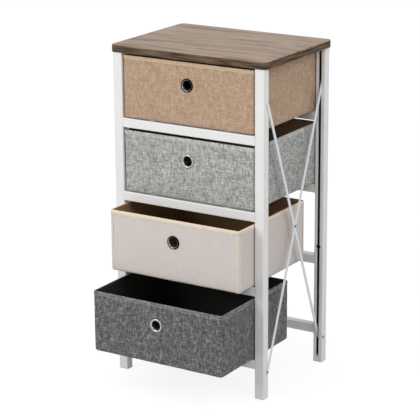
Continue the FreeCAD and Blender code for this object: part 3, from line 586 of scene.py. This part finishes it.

# Printed edge band: matt paper, dark with thin lighter lines, and darker than its print alone as painted
# shade on the upright edge. Its grain follows x + y, so that it runs on round the corners.
band_with_painted_shade, tree, shader, place = new_finish(
    "printed_band_and_painted_shade", Roughness=0.7, IOR=1.5, Specular_IOR_Level=0.12,
)
parts = add_node(tree, "ShaderNodeSeparateXYZ", {"Vector": place})
along = add_node(tree, "ShaderNodeMath", {0: parts.outputs["X"], 1: parts.outputs["Y"]}, operation="ADD")
strip = add_node(tree, "ShaderNodeCombineXYZ", {"X": along.outputs["Value"], "Z": parts.outputs["Z"]})
strip_grain = add_node(tree, "ShaderNodeMapping", {
    "Vector": strip.outputs["Vector"],
    "Scale": (1000 / BAND_STREAK_LENGTH_MM, 1.0, 1000 / BAND_STREAK_MM),
})
band_streaks = add_node(tree, "ShaderNodeTexNoise", {
    "Vector": strip_grain.outputs["Vector"], "Scale": 1.0, "Detail": 3.0,
})
band_share = add_node(tree, "ShaderNodeMapRange", {
    "Value": band_streaks.outputs["Fac"], "From Min": 0.34, "From Max": 0.66,
})
band_tone = add_node(tree, "ShaderNodeMix", {
    "Factor": band_share.outputs["Result"], 6: linear(BAND_DARK), 7: linear(BAND_LIGHT),
}, data_type="RGBA")
tree.links.new(band_tone.outputs[2], shader.inputs["Base Color"])

# The foil covers the top, its rounded edge and the underside, and the band the upright edge, where
# its darker colour is partly painted shade.
give_finish(wooden_top, printed_foil, band_with_painted_shade)
for face in wooden_top.data.polygons:
    face.material_index = 1 if -0.9 < face.normal.z < 0.35 else 0
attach(wooden_top, "frame")
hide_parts("top_board")

# Turned beech, for the pegs between the board and the posts: pale and dull, with short brown flecks.
beech, tree, shader, place = new_finish("turned_beech", Roughness=0.6, IOR=1.5)
peg_grain = add_node(tree, "ShaderNodeMapping", {
    "Vector": place, "Scale": (1000 / BEECH_FLECK_MM, 1000 / BEECH_FLECK_MM, 1000 / BEECH_FLECK_LENGTH_MM),
})
flecks = add_node(tree, "ShaderNodeTexNoise", {
    "Vector": peg_grain.outputs["Vector"], "Scale": 1.0, "Detail": 3.0,
})
tone = add_node(tree, "ShaderNodeMix", {
    "Factor": flecks.outputs["Fac"], 6: linear(BEECH_DARK), 7: linear(BEECH_LIGHT),
}, data_type="RGBA")
tree.links.new(tone.outputs[2], shader.inputs["Base Color"])
dress(beech, "top_board_pegs")


# Stiffeners: cut sheets of pressed grey-brown cardboard, quite matt and mottled by their fibres, pushed
# into the pockets of the bins' walls. A loose one on each floor, covered with the lining's non-woven, is
# the only one that is seen.

CARD_LIGHT = "A6957D"
CARD_DARK = "86765F"
CARD_FIBRE_MM = 1.4

stiff_card, tree, shader, place = new_finish("pressed_grey_board", Roughness=0.9, IOR=1.45)
fibres = add_node(tree, "ShaderNodeTexNoise", {
    "Vector": place, "Scale": 1000 / CARD_FIBRE_MM, "Detail": 5.0,
})
tone = add_node(tree, "ShaderNodeMix", {
    "Factor": fibres.outputs["Fac"], 6: linear(CARD_DARK), 7: linear(CARD_LIGHT),
}, data_type="RGBA")
tree.links.new(tone.outputs[2], shader.inputs["Base Color"])
for tier in TIERS:
    dress(stiff_card, f"drawer_{tier}_front_board", f"drawer_{tier}_wall_boards")


# Lining: thin spun-bonded polypropylene, brown in three bins and black in the lowest, welded in a
# close pattern of small oval dots. It is sewn to the outer cloth at the rim. The lowest one's near-black
# is partly its own dark grey and partly painted shade for the deep inside of that bin.

DOT_MM = 2.4
LINING_FIBRE_MM = 2.63
DOT_DEPTH = 0.0003


def bonded_lining(name, light, dark):
    """Matt non-woven with rows of welded dots, drawn at twice their real spacing so that they show."""
    material, tree, shader, place = new_finish(name, Roughness=0.85, IOR=1.49)
    parts = add_node(tree, "ShaderNodeSeparateXYZ", {"Vector": place})
    around = add_node(tree, "ShaderNodeMath", {
        0: parts.outputs["X"], 1: parts.outputs["Y"],
    }, operation="ADD")
    flat = add_node(tree, "ShaderNodeCombineXYZ", {"X": around.outputs["Value"], "Y": parts.outputs["Z"]})
    dots = add_node(tree, "ShaderNodeTexVoronoi", {
        "Vector": flat.outputs["Vector"], "Scale": 1000 / DOT_MM, "Randomness": 0.25,
    })
    fibres = add_node(tree, "ShaderNodeTexNoise", {
        "Vector": place, "Scale": 1000 / LINING_FIBRE_MM, "Detail": 4.0,
    })
    height = add_node(tree, "ShaderNodeMath", {
        0: dots.outputs["Distance"], 1: fibres.outputs["Fac"],
    }, operation="MULTIPLY")
    tone = add_node(tree, "ShaderNodeMix", {
        "Factor": height.outputs["Value"], 6: linear(dark), 7: linear(light),
    }, data_type="RGBA")
    bump = add_node(tree, "ShaderNodeBump", {
        "Height": height.outputs["Value"], "Strength": 0.5, "Distance": DOT_DEPTH,
    })
    tree.links.new(tone.outputs[2], shader.inputs["Base Color"])
    tree.links.new(bump.outputs["Normal"], shader.inputs["Normal"])
    return material


brown_lining = bonded_lining("brown_non_woven", "BC9870", "7E6040")
# Near black: partly the lining's own dark grey, partly painted shade for the lowest bin's deep inside.
dark_lining_and_shade = bonded_lining("dark_non_woven_and_painted_shade", "332F2B", "1A1816")
LININGS = {1: brown_lining, 2: brown_lining, 3: brown_lining, 4: dark_lining_and_shade}
for tier in TIERS:
    dress(LININGS[tier], f"drawer_{tier}_base_board")


# Outer cloths: a tan linen-look weave, light and dark grey melange weaves and a smooth greige one, all of
# spun polyester. Their threads are thick and thin, so slubs run both up and across.

LINING_WALL = 0.0008
CLOTH_WALL = 0.0012
BIN_WALL = 0.0052
BIN_CORNER = 0.009
BIN_LOWER_ROUNDING = 0.006
INNER_CORNER = 0.0046
INNER_LOWER_ROUNDING = 0.002
CORNER_SEGMENTS = 6
ROUNDING_SEGMENTS = 4
GRID = 0.012
RIPPLE_SIZE = 0.05
RIPPLE_HEIGHT = 0.0014
RIPPLE_STRETCH = 2.6
RIPPLE_SHIFT = Vector((0.37, 0.11, 0))
SEAM_HALF_WIDTH = 0.0011
SEAM_DEPTH = 0.0009
NEAR_SEAM = 0.0002
FINGER_HOLE_RADIUS = 0.0122
FINGER_PUNCH_LENGTH = 0.03
CLOTH_SMOOTH_ANGLE = math.radians(35)
WARP_SHARE = 2.2
YARN_SHIFT = 5.37
FLECK_SHIFT = 0.37
FLECK_THREADS = 4
THREAD_RELIEF = 0.0002


def woven_cloth(name, ground, light, dark, thread_mm, slub_mm, evenness, fleck):
    """Plain weave of matt slub yarn. The threads are drawn a few times too coarse, so that they show.

    An even cloth is one whose threads differ little from its ground colour.
    """
    material, tree, shader, place = new_finish(
        name, Roughness=0.9, IOR=1.45, Sheen_Weight=0.1, Sheen_Roughness=0.5,
    )
    parts = add_node(tree, "ShaderNodeSeparateXYZ", {"Vector": place})
    around = add_node(tree, "ShaderNodeMath", {
        0: parts.outputs["X"], 1: parts.outputs["Y"],
    }, operation="ADD")
    warp_share = WARP_SHARE / evenness
    weft_share = 1.0 / evenness
    fleck_share = fleck / evenness
    # The upright warp first, then the weft that runs round the bin.
    directions = (
        (around.outputs["Value"], parts.outputs["Z"], warp_share),
        (parts.outputs["Z"], around.outputs["Value"], weft_share),
    )
    numbers = []
    humps = []
    total = 0.5 - 0.5 * (warp_share + weft_share + 2 * fleck_share)
    for across, along, share in directions:
        count = add_node(tree, "ShaderNodeMath", {0: across, 1: 1000 / thread_mm}, operation="MULTIPLY")
        number = add_node(tree, "ShaderNodeMath", {0: count.outputs["Value"]}, operation="FLOOR")
        numbers.append(number.outputs["Value"])
        # Each thread has its own slubs, from its own line through the noise.
        line = add_node(tree, "ShaderNodeMath", {
            0: number.outputs["Value"], 1: YARN_SHIFT,
        }, operation="MULTIPLY")
        run = add_node(tree, "ShaderNodeMath", {0: along, 1: 1000 / slub_mm}, operation="MULTIPLY")
        yarn = add_node(tree, "ShaderNodeCombineXYZ", {
            "X": line.outputs["Value"], "Y": run.outputs["Value"],
        })
        slub = add_node(tree, "ShaderNodeTexNoise", {
            "Vector": yarn.outputs["Vector"], "Scale": 1.0, "Detail": 0.5,
        }, noise_dimensions="2D")
        total = add_node(tree, "ShaderNodeMath", {
            0: slub.outputs["Fac"], 1: share, 2: total,
        }, operation="MULTIPLY_ADD").outputs["Value"]
        # A thick stretch of yarn shows as a fleck one thread wide and a few threads long.
        shift = add_node(tree, "ShaderNodeMath", {
            0: number.outputs["Value"], 1: FLECK_SHIFT,
        }, operation="MULTIPLY")
        shifted = add_node(tree, "ShaderNodeMath", {
            0: along, 1: 1000 / (FLECK_THREADS * thread_mm), 2: shift.outputs["Value"],
        }, operation="MULTIPLY_ADD")
        stretch = add_node(tree, "ShaderNodeMath", {0: shifted.outputs["Value"]}, operation="FLOOR")
        spot = add_node(tree, "ShaderNodeCombineXYZ", {
            "X": number.outputs["Value"], "Y": stretch.outputs["Value"],
        })
        flecks = add_node(tree, "ShaderNodeTexWhiteNoise", {
            "Vector": spot.outputs["Vector"],
        }, noise_dimensions="2D")
        total = add_node(tree, "ShaderNodeMath", {
            0: flecks.outputs["Value"], 1: fleck_share, 2: total,
        }, operation="MULTIPLY_ADD").outputs["Value"]
        half_turns = add_node(tree, "ShaderNodeMath", {
            0: count.outputs["Value"], 1: math.pi,
        }, operation="MULTIPLY")
        wave = add_node(tree, "ShaderNodeMath", {0: half_turns.outputs["Value"]}, operation="SINE")
        hump = add_node(tree, "ShaderNodeMath", {0: wave.outputs["Value"]}, operation="ABSOLUTE")
        humps.append(hump.outputs["Value"])
    # Where the numbers of two crossing threads add up to an odd one, the weft lies on top.
    sum_of_both = add_node(tree, "ShaderNodeMath", {0: numbers[0], 1: numbers[1]}, operation="ADD")
    weft_on_top = add_node(tree, "ShaderNodeMath", {
        0: sum_of_both.outputs["Value"], 1: 1.0,
    }, operation="PINGPONG")
    height = add_node(tree, "ShaderNodeMix", {
        "Factor": weft_on_top.outputs["Value"], 2: humps[0], 3: humps[1],
    })
    colours = add_node(tree, "ShaderNodeValToRGB", {"Fac": total})
    colours.color_ramp.elements[0].color = linear(dark)
    colours.color_ramp.elements[1].color = linear(light)
    colours.color_ramp.elements.new(0.5).color = linear(ground)
    bump = add_node(tree, "ShaderNodeBump", {
        "Height": height.outputs[0], "Strength": 0.5, "Distance": THREAD_RELIEF,
    })
    tree.links.new(colours.outputs["Color"], shader.inputs["Base Color"])
    tree.links.new(bump.outputs["Normal"], shader.inputs["Normal"])
    return material


# Ground, light and dark colour, then the width of a thread and the length of a slub in millimetres,
# evenness and fleck.
CLOTHS = {
    1: woven_cloth("tan_linen_look", "B0947B", "C9AF95", "90755F", 2.2, 20.0, 4.8, 1.4),
    2: woven_cloth("light_grey_melange", "A1A29E", "D8D9D5", "605F5D", 2.2, 16.0, 5.6, 1.8),
    3: woven_cloth("smooth_greige_cloth", "CFC7C2", "D3CBC6", "CAC2BC", 1.6, 30.0, 1.8, 0.3),
    4: woven_cloth("dark_grey_melange", "5C5C5D", "9C9D9D", "262626", 2.2, 16.0, 5.6, 1.8),
}


def open_bin(name, low, high, corner, lower_rounding):
    """A box with no top, its walls cut into a grid of small squares, on the origin."""
    shell = new_block(name, low, high)
    bpy.ops.object.mode_set(mode="EDIT")
    round_upright_edges(shell, corner, CORNER_SEGMENTS)
    round_rim(shell, low[2], lower_rounding, ROUNDING_SEGMENTS)
    pick(shell, "FACE", lambda face: face.normal.z > 0.9)
    bpy.ops.mesh.delete(type="ONLY_FACE")
    for axis in range(3):
        normal = [0, 0, 0]
        normal[axis] = 1
        first = low[axis] + (lower_rounding if axis == 2 else corner)
        last = high[axis] - (0 if axis == 2 else corner)
        count = max(2, round((last - first) / GRID))
        for step in range(1, count):
            spot = [0, 0, 0]
            spot[axis] = first + (last - first) * step / count
            bpy.ops.mesh.select_all(action="SELECT")
            bpy.ops.mesh.bisect(plane_co=spot, plane_no=normal)
    bpy.ops.object.mode_set(mode="OBJECT")
    return shell


def crease_corner_seams(shell, half_width, seam_y):
    """Draws the cloth in along the four upright seams, where the side panels meet the front and rear."""
    def on_seam(edge):
        corner = edge.verts[0].co
        past_x = abs(abs(corner.x) - half_width)
        past_y = abs(abs(corner.y) - seam_y)
        return is_upright(edge) and max(past_x, past_y) < NEAR_SEAM
    select_only(shell)
    bpy.ops.object.mode_set(mode="EDIT")
    pick(shell, "EDGE", on_seam)
    bpy.ops.mesh.bevel(offset=SEAM_HALF_WIDTH, segments=2, affect="EDGES")
    pick(shell, "EDGE", on_seam)
    drawn_in = (half_width - SEAM_DEPTH) / half_width
    bpy.ops.transform.resize(value=(drawn_in, 1, 1), center_override=(0, 0, 0))
    bpy.ops.object.mode_set(mode="OBJECT")


cover_low, cover_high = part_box("drawer_1_cover")
half_width = (cover_high.x - cover_low.x) / 2
half_depth = (cover_high.y - cover_low.y) / 2
bin_height = cover_high.z - cover_low.z

outer_bin = open_bin(
    "outer_bin", (-half_width, -half_depth, 0), (half_width, half_depth, bin_height),
    BIN_CORNER, BIN_LOWER_ROUNDING,
)
crease_corner_seams(outer_bin, half_width, half_depth - BIN_CORNER)
inner_x = half_width - BIN_WALL + LINING_WALL
inner_y = half_depth - BIN_WALL + LINING_WALL
inner_bin = open_bin(
    "inner_bin", (-inner_x, -inner_y, CLOTH_WALL), (inner_x, inner_y, bin_height),
    INNER_CORNER, INNER_LOWER_ROUNDING,
)


def bin_place(tier):
    """The middle of a bin's underside."""
    low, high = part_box(f"drawer_{tier}_cover")
    return Vector(((low.x + high.x) / 2, (low.y + high.y) / 2, low.z))


def eyelet_place(tier):
    """The middle of the eyelet, where its rim meets the cloth."""
    low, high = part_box(f"drawer_{tier}_eyelet")
    return Vector(((low.x + high.x) / 2, bin_place(tier).y - half_depth, (low.z + high.z) / 2))


def cut_finger_hole(piece, tier):
    """Cuts the eyelet's hole through the front wall."""
    bpy.ops.object.select_all(action="DESELECT")
    bpy.ops.mesh.primitive_cylinder_add(
        vertices=48, radius=FINGER_HOLE_RADIUS, depth=FINGER_PUNCH_LENGTH,
        location=eyelet_place(tier), rotation=(math.pi / 2, 0, 0),
    )
    punch = bpy.context.object
    apply_modifier(piece, "BOOLEAN", operation="DIFFERENCE", object=punch, solver="EXACT")
    bpy.data.objects.remove(punch)


for tier in TIERS:
    cloth = copy_in_place(outer_bin, f"drawer_{tier}_outer_cloth", (0, 0, 1), bin_place(tier))
    # Faint upright ripples, which lie differently on each bin.
    ripples = bpy.data.textures.new(f"ripples_{tier}", "CLOUDS")
    ripples.noise_scale = RIPPLE_SIZE
    ripples.noise_depth = 1
    bpy.ops.object.select_all(action="DESELECT")
    bpy.ops.object.empty_add(location=bin_place(tier) + tier * RIPPLE_SHIFT)
    stretcher = bpy.context.object
    stretcher.scale = (1, 1, RIPPLE_STRETCH)
    apply_modifier(
        cloth, "DISPLACE", texture=ripples, texture_coords="OBJECT", texture_coords_object=stretcher,
        strength=RIPPLE_HEIGHT, mid_level=0.5,
    )
    bpy.data.objects.remove(stretcher)
    apply_modifier(cloth, "SOLIDIFY", thickness=CLOTH_WALL, offset=-1.0, use_even_offset=True)
    cut_finger_hole(cloth, tier)
    lining = copy_in_place(inner_bin, f"drawer_{tier}_lining", (0, 0, 1), bin_place(tier))
    apply_modifier(lining, "SOLIDIFY", thickness=LINING_WALL, offset=-1.0, use_even_offset=True)
    cut_finger_hole(lining, tier)
    for piece, material in ((cloth, CLOTHS[tier]), (lining, LININGS[tier])):
        select_only(piece)
        bpy.ops.object.shade_smooth_by_angle(angle=CLOTH_SMOOTH_ANGLE)
        give_finish(piece, material)
        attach(piece, f"drawer_{tier}")
        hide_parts(f"drawer_{tier}_cover")
for pattern in (outer_bin, inner_bin):
    bpy.data.objects.remove(pattern)


# Rim binding: a tape of the bin's own cloth, cream on the third bin, folded over the rim and sewn
# through all layers with one row of lock stitches near its lower edge. Inside, the lining covers it.
# On the other three bins the tape is drawn lighter than the cloth, as painted light on the rolled rim.
# On the third bin the same cream tape also covers the four upright corner seams.

TAPE_HEIGHT = 0.008
TAPE_WALL = 0.0008
TAPE_ROLL = 0.0024
TAPE_SMOOTH_ANGLE = math.radians(50)
TAPE_OVERLAP = 0.001
TAPE_OUTER_SHARE = 0.6
CORNER_TAPE_WALL = 0.00072
STITCH_PITCH = 0.0044
STITCH_BELOW_RIM = 0.0062
STITCH_LENGTH = 0.0032
STITCH_HALF_WIDTH = 0.0003
STITCH_HALF_HEIGHT = 0.00035
STITCH_TIP = 0.0001
STITCH_TIP_SHARE = 0.4
STITCH_BEVEL = 0.00012
PLY_MM = 0.35

tape_top = bin_height + TAPE_WALL
tape_x = half_width + TAPE_WALL
tape_y = half_depth + TAPE_WALL
tape_corner = BIN_CORNER + TAPE_WALL
tape_depth = BIN_WALL + 2 * TAPE_WALL

rim_tape = new_block(
    "rim_tape", (-tape_x, -tape_y, bin_height - TAPE_HEIGHT), (tape_x, tape_y, tape_top),
)
bpy.ops.object.mode_set(mode="EDIT")
round_upright_edges(rim_tape, tape_corner, CORNER_SEGMENTS)
pick(rim_tape, "FACE", lambda face: abs(face.normal.z) > 0.9)
bpy.ops.mesh.delete(type="ONLY_FACE")
bpy.ops.object.mode_set(mode="OBJECT")
apply_modifier(rim_tape, "SOLIDIFY", thickness=tape_depth, offset=-1.0, use_even_offset=True)
bpy.ops.object.mode_set(mode="EDIT")
round_rim(rim_tape, tape_top, TAPE_ROLL, ROUNDING_SEGMENTS)
pick(rim_tape, "FACE", lambda face: face.normal.z < -0.9)
bpy.ops.mesh.inset(thickness=TAPE_WALL, use_boundary=True, use_even_offset=True)
bpy.ops.mesh.extrude_region_move(TRANSFORM_OT_translate={"value": (0, 0, TAPE_HEIGHT)})
bpy.ops.object.mode_set(mode="OBJECT")
bpy.ops.object.shade_smooth_by_angle(angle=TAPE_SMOOTH_ANGLE)

# The line that the stitches follow: the tape's outline, as a curve.
bpy.ops.object.select_all(action="DESELECT")
bpy.ops.mesh.primitive_plane_add(size=1)
seam_line = bpy.context.object
seam_line.name = "seam_line"
seam_line.scale = (2 * tape_x, 2 * tape_y, 1)
bpy.ops.object.transform_apply(location=True, rotation=True, scale=True)
bpy.ops.object.mode_set(mode="EDIT")
bpy.ops.mesh.select_all(action="SELECT")
bpy.ops.mesh.bevel(offset=tape_corner, segments=8, affect="VERTICES")
bpy.ops.mesh.delete(type="ONLY_FACE")
bpy.ops.object.mode_set(mode="OBJECT")
bpy.ops.object.convert(target="CURVE")
seam_length = seam_line.data.splines[0].calc_length()
stitch_count = round(seam_length / STITCH_PITCH)
stitch_pitch = seam_length / stitch_count

# One stitch with tapered ends, then a row of them bent round the bin.
stitches = new_block(
    "stitches", (0, -STITCH_HALF_WIDTH, -STITCH_HALF_HEIGHT),
    (STITCH_LENGTH, STITCH_HALF_WIDTH, STITCH_HALF_HEIGHT),
)
bpy.ops.object.mode_set(mode="EDIT")
pick(stitches, "FACE", lambda face: abs(face.normal.x) > 0.9)
bpy.ops.mesh.extrude_region_shrink_fatten(TRANSFORM_OT_shrink_fatten={"value": STITCH_TIP})
bpy.ops.transform.resize(value=(1, STITCH_TIP_SHARE, STITCH_TIP_SHARE))
bpy.ops.mesh.select_all(action="SELECT")
bpy.ops.mesh.bevel(offset=STITCH_BEVEL, segments=1, affect="EDGES")
bpy.ops.object.mode_set(mode="OBJECT")
apply_modifier(
    stitches, "ARRAY", count=stitch_count, use_relative_offset=False, use_constant_offset=True,
    constant_offset_displace=(stitch_pitch, 0, 0),
)
apply_modifier(stitches, "CURVE", object=seam_line, deform_axis="POS_X")
stitches.data.transform(Matrix.Translation((0, 0, bin_height - STITCH_BELOW_RIM)))
bpy.data.objects.remove(seam_line)

corner_tape = new_block(
    "corner_tape", (-tape_x, -tape_y, -TAPE_WALL / 2),
    (tape_x, tape_y, bin_height - TAPE_HEIGHT + TAPE_OVERLAP),
)
bpy.ops.object.mode_set(mode="EDIT")
round_upright_edges(corner_tape, tape_corner, CORNER_SEGMENTS)
round_rim(corner_tape, -TAPE_WALL / 2, BIN_LOWER_ROUNDING, ROUNDING_SEGMENTS)
pick(corner_tape, "FACE", lambda face: min(abs(face.normal.x), abs(face.normal.y)) < 0.05)
bpy.ops.mesh.delete(type="FACE")
bpy.ops.object.mode_set(mode="OBJECT")
apply_modifier(corner_tape, "SOLIDIFY", thickness=CORNER_TAPE_WALL, offset=-1.0, use_even_offset=True)
bpy.ops.object.shade_smooth_by_angle(angle=TAPE_SMOOTH_ANGLE)

# The tan and grey tapes are lighter than their bins' cloth: painted light on the rolled rim.
TAPES = {
    1: woven_cloth("tan_tape_painted_light", "BDA38A", "CCB399", "A48B73", 2.2, 20.0, 4.8, 1.4),
    2: woven_cloth("light_grey_tape_painted_light", "B0B1AD", "DCDDD9", "747571", 2.2, 16.0, 5.6, 1.8),
    3: woven_cloth("cream_tape", "E0D1BD", "E8DAC8", "D5C5B0", 1.6, 20.0, 1.6, 0.2),
    4: woven_cloth("dark_grey_tape_painted_light", "6C6C6D", "A6A7A7", "3A3A3A", 2.2, 16.0, 5.6, 1.8),
}
corner_cloth = woven_cloth("cream_corner_tape", "D9CDC1", "DED3C8", "D2C6BA", 1.6, 20.0, 1.6, 0.2)


def sewing_thread(name, light, dark):
    """Twisted polyester thread: a slight gloss, and plies that wind round it."""
    material, tree, shader, place = new_finish(name, Roughness=0.6, IOR=1.5, Sheen_Weight=0.2)
    # A wave texture's bands lie tau / 20 apart at a scale of 1.
    plies = add_node(tree, "ShaderNodeTexWave", {
        "Vector": place, "Scale": math.tau / 20 * 1000 / PLY_MM, "Distortion": 1.0,
    }, bands_direction="DIAGONAL")
    tone = add_node(tree, "ShaderNodeMix", {
        "Factor": plies.outputs["Fac"], 6: linear(dark), 7: linear(light),
    }, data_type="RGBA")
    tree.links.new(tone.outputs[2], shader.inputs["Base Color"])
    return material


THREADS = {
    1: sewing_thread("tan_thread", "D8C6B0", "B8A48C"),
    2: sewing_thread("light_grey_thread", "C6C8C4", "9EA09C"),
    3: sewing_thread("cream_thread", "D8C6B0", "B09C86"),
    4: sewing_thread("dark_grey_thread", "9A9B9C", "6E6F70"),
}

for tier in TIERS:
    tape = copy_in_place(rim_tape, f"drawer_{tier}_rim_tape", (0, 0, 1), bin_place(tier))
    row = copy_in_place(stitches, f"drawer_{tier}_stitching", (0, 0, 1), bin_place(tier))
    give_finish(tape, TAPES[tier], LININGS[tier])
    give_finish(row, THREADS[tier])
    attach(tape, f"drawer_{tier}")
    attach(row, f"drawer_{tier}")
    # The faces on the inside of the bin are the lining's.
    middle = bin_place(tier)
    for face in tape.data.polygons:
        from_side = tape_x - abs(face.center.x - middle.x)
        from_end = tape_y - abs(face.center.y - middle.y)
        face.material_index = 1 if min(from_side, from_end) > TAPE_OUTER_SHARE * tape_depth else 0
    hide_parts(f"drawer_{tier}_binding")

corner_bands = copy_in_place(corner_tape, "drawer_3_corner_tapes", (0, 0, 1), bin_place(3))
give_finish(corner_bands, corner_cloth)
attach(corner_bands, "drawer_3")
for pattern in (rim_tape, corner_tape, stitches):
    bpy.data.objects.remove(pattern)


# Eyelets: pressed brass, nickel-plated, rolled over a washer at the back. Two are plated black and two
# bright. The inner edge of the black ones is a brighter nickel, as a painted highlight. The barrels and
# the bright ones' outer edges, which lie against the cloth, are duller, and on those outer edges the
# darker nickel is painted shade.

EYELET_SEGMENTS = 56
EYELET_PROFILE = [
    (11.9, 0.0), (16.3, 0.0), (16.25, 0.7), (15.95, 1.4), (15.4, 2.0), (14.7, 2.35), (13.8, 2.4),
    (12.95, 2.15), (12.1, 1.6), (11.5, 0.8), (11.1, -0.2), (11.0, -1.4), (11.0, -6.4), (11.15, -6.9),
    (11.7, -7.2), (12.6, -7.2), (13.3, -6.9), (13.7, -6.4), (13.7, -6.0), (11.9, -6.0), (11.9, 0.0),
]
INNER_EDGE = 0.0127
OUTER_EDGE = 0.0157
BARREL_START = 0.0004

eyelet = turned_piece("eyelet", EYELET_PROFILE, EYELET_SEGMENTS)
black_nickel = plated_metal("black_nickel_plate", "1F1D1E", "121112", 0.12)
bright_nickel = plated_metal("bright_nickel_plate", "C4C3C1", "A6A5A3", 0.2)
# Painted highlight: a brighter nickel on the black eyelets' inner edge.
highlight_nickel = plated_metal("painted_highlight_nickel_edge", "A9A7A5", "8B8987", 0.22)
# Darker and duller: the barrels, and the bright eyelets' outer edges, where it is painted shade.
dull_nickel_and_painted_shade = plated_metal("dull_nickel_and_painted_shade", "7C7B79", "5A5957", 0.5)
for tier in TIERS:
    ring = copy_in_place(eyelet, f"drawer_{tier}_pull_ring", (0, -1, 0), eyelet_place(tier))
    black = tier in (1, 3)
    if black:
        give_finish(ring, black_nickel, highlight_nickel, dull_nickel_and_painted_shade)
    else:
        give_finish(ring, bright_nickel, bright_nickel, dull_nickel_and_painted_shade)
    middle = eyelet_place(tier)
    for face in ring.data.polygons:
        out = face.center - middle
        radius = math.hypot(out.x, out.z)
        # On the bright eyelets the outer edge gets the darker nickel as painted shade.
        if radius > OUTER_EDGE:
            face.material_index = 0 if black else 2
        elif radius > INNER_EDGE:
            face.material_index = 0
        # Inner edge: on the black eyelets a brighter nickel, as a painted highlight.
        elif out.y < BARREL_START:
            face.material_index = 1
        else:
            face.material_index = 2
    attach(ring, f"drawer_{tier}")
    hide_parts(f"drawer_{tier}_eyelet")
    dress(zinc_plate, f"drawer_{tier}_eyelet_washer")
bpy.data.objects.remove(eyelet)


# The studio: a white sweep in even light, a large soft lamp from the front left and a weaker one from
# high on the right. The floor is white to the camera but keeps the unit's shadow.

FLOOR_SIZE = 14.0
FLOOR_GREY = "B0B0B0"
SHADOW_GREY = "7B7B7B"
FLOOR_GLOW = 0.85
EVEN_LIGHT = 0.76
WHITE = (1, 1, 1, 1)
LAMP_AIM = Vector((0, 0, 0.4))

bpy.ops.object.select_all(action="DESELECT")
bpy.ops.mesh.primitive_plane_add(size=FLOOR_SIZE, location=(0, 0, 0))
floor = bpy.context.object
floor.name = "studio_floor"
sweep = bpy.data.materials.new("white_sweep")
sweep.use_nodes = True
tree = sweep.node_tree
tree.nodes.clear()
rays = add_node(tree, "ShaderNodeLightPath")
seen = add_node(tree, "ShaderNodeMath", {
    0: rays.outputs["Is Camera Ray"], 1: rays.outputs["Is Glossy Ray"],
}, operation="MAXIMUM")
paper = add_node(tree, "ShaderNodeBsdfDiffuse", {"Color": linear(FLOOR_GREY)})
shadow_paper = add_node(tree, "ShaderNodeBsdfDiffuse", {"Color": linear(SHADOW_GREY)})
lit_paper = add_node(tree, "ShaderNodeEmission", {"Color": WHITE, "Strength": FLOOR_GLOW})
shown = add_node(tree, "ShaderNodeAddShader", {0: shadow_paper.outputs[0], 1: lit_paper.outputs[0]})
either = add_node(tree, "ShaderNodeMixShader", {
    0: seen.outputs["Value"], 1: paper.outputs[0], 2: shown.outputs[0],
})
add_node(tree, "ShaderNodeOutputMaterial", {"Surface": either.outputs[0]})
give_finish(floor, sweep)

world = bpy.data.worlds.new("white_studio")
bpy.context.scene.world = world
world.use_nodes = True
tree = world.node_tree
tree.nodes.clear()
rays = add_node(tree, "ShaderNodeLightPath")
backdrop = add_node(tree, "ShaderNodeMath", {
    0: rays.outputs["Is Camera Ray"], 1: rays.outputs["Is Transmission Ray"],
}, operation="MAXIMUM")
strength = add_node(tree, "ShaderNodeMapRange", {
    "Value": backdrop.outputs["Value"], "To Min": EVEN_LIGHT, "To Max": 1.0,
})
studio = add_node(tree, "ShaderNodeBackground", {
    "Color": WHITE, "Strength": strength.outputs["Result"],
})
add_node(tree, "ShaderNodeOutputWorld", {"Surface": studio.outputs[0]})

for name, spot, size, power in (
    ("key_lamp", (-1.5, -3.0, 2.2), 1.8, 55),
    ("fill_lamp", (3.0, -1.6, 2.7), 1.6, 38),
):
    bpy.ops.object.light_add(type="AREA", location=spot)
    lamp = bpy.context.object
    lamp.name = name
    lamp.data.size = size
    lamp.data.energy = power
    aim = LAMP_AIM - Vector(spot)
    lamp.rotation_euler = aim.to_track_quat("-Z", "Y").to_euler()

bpy.context.scene.view_settings.view_transform = "Standard"
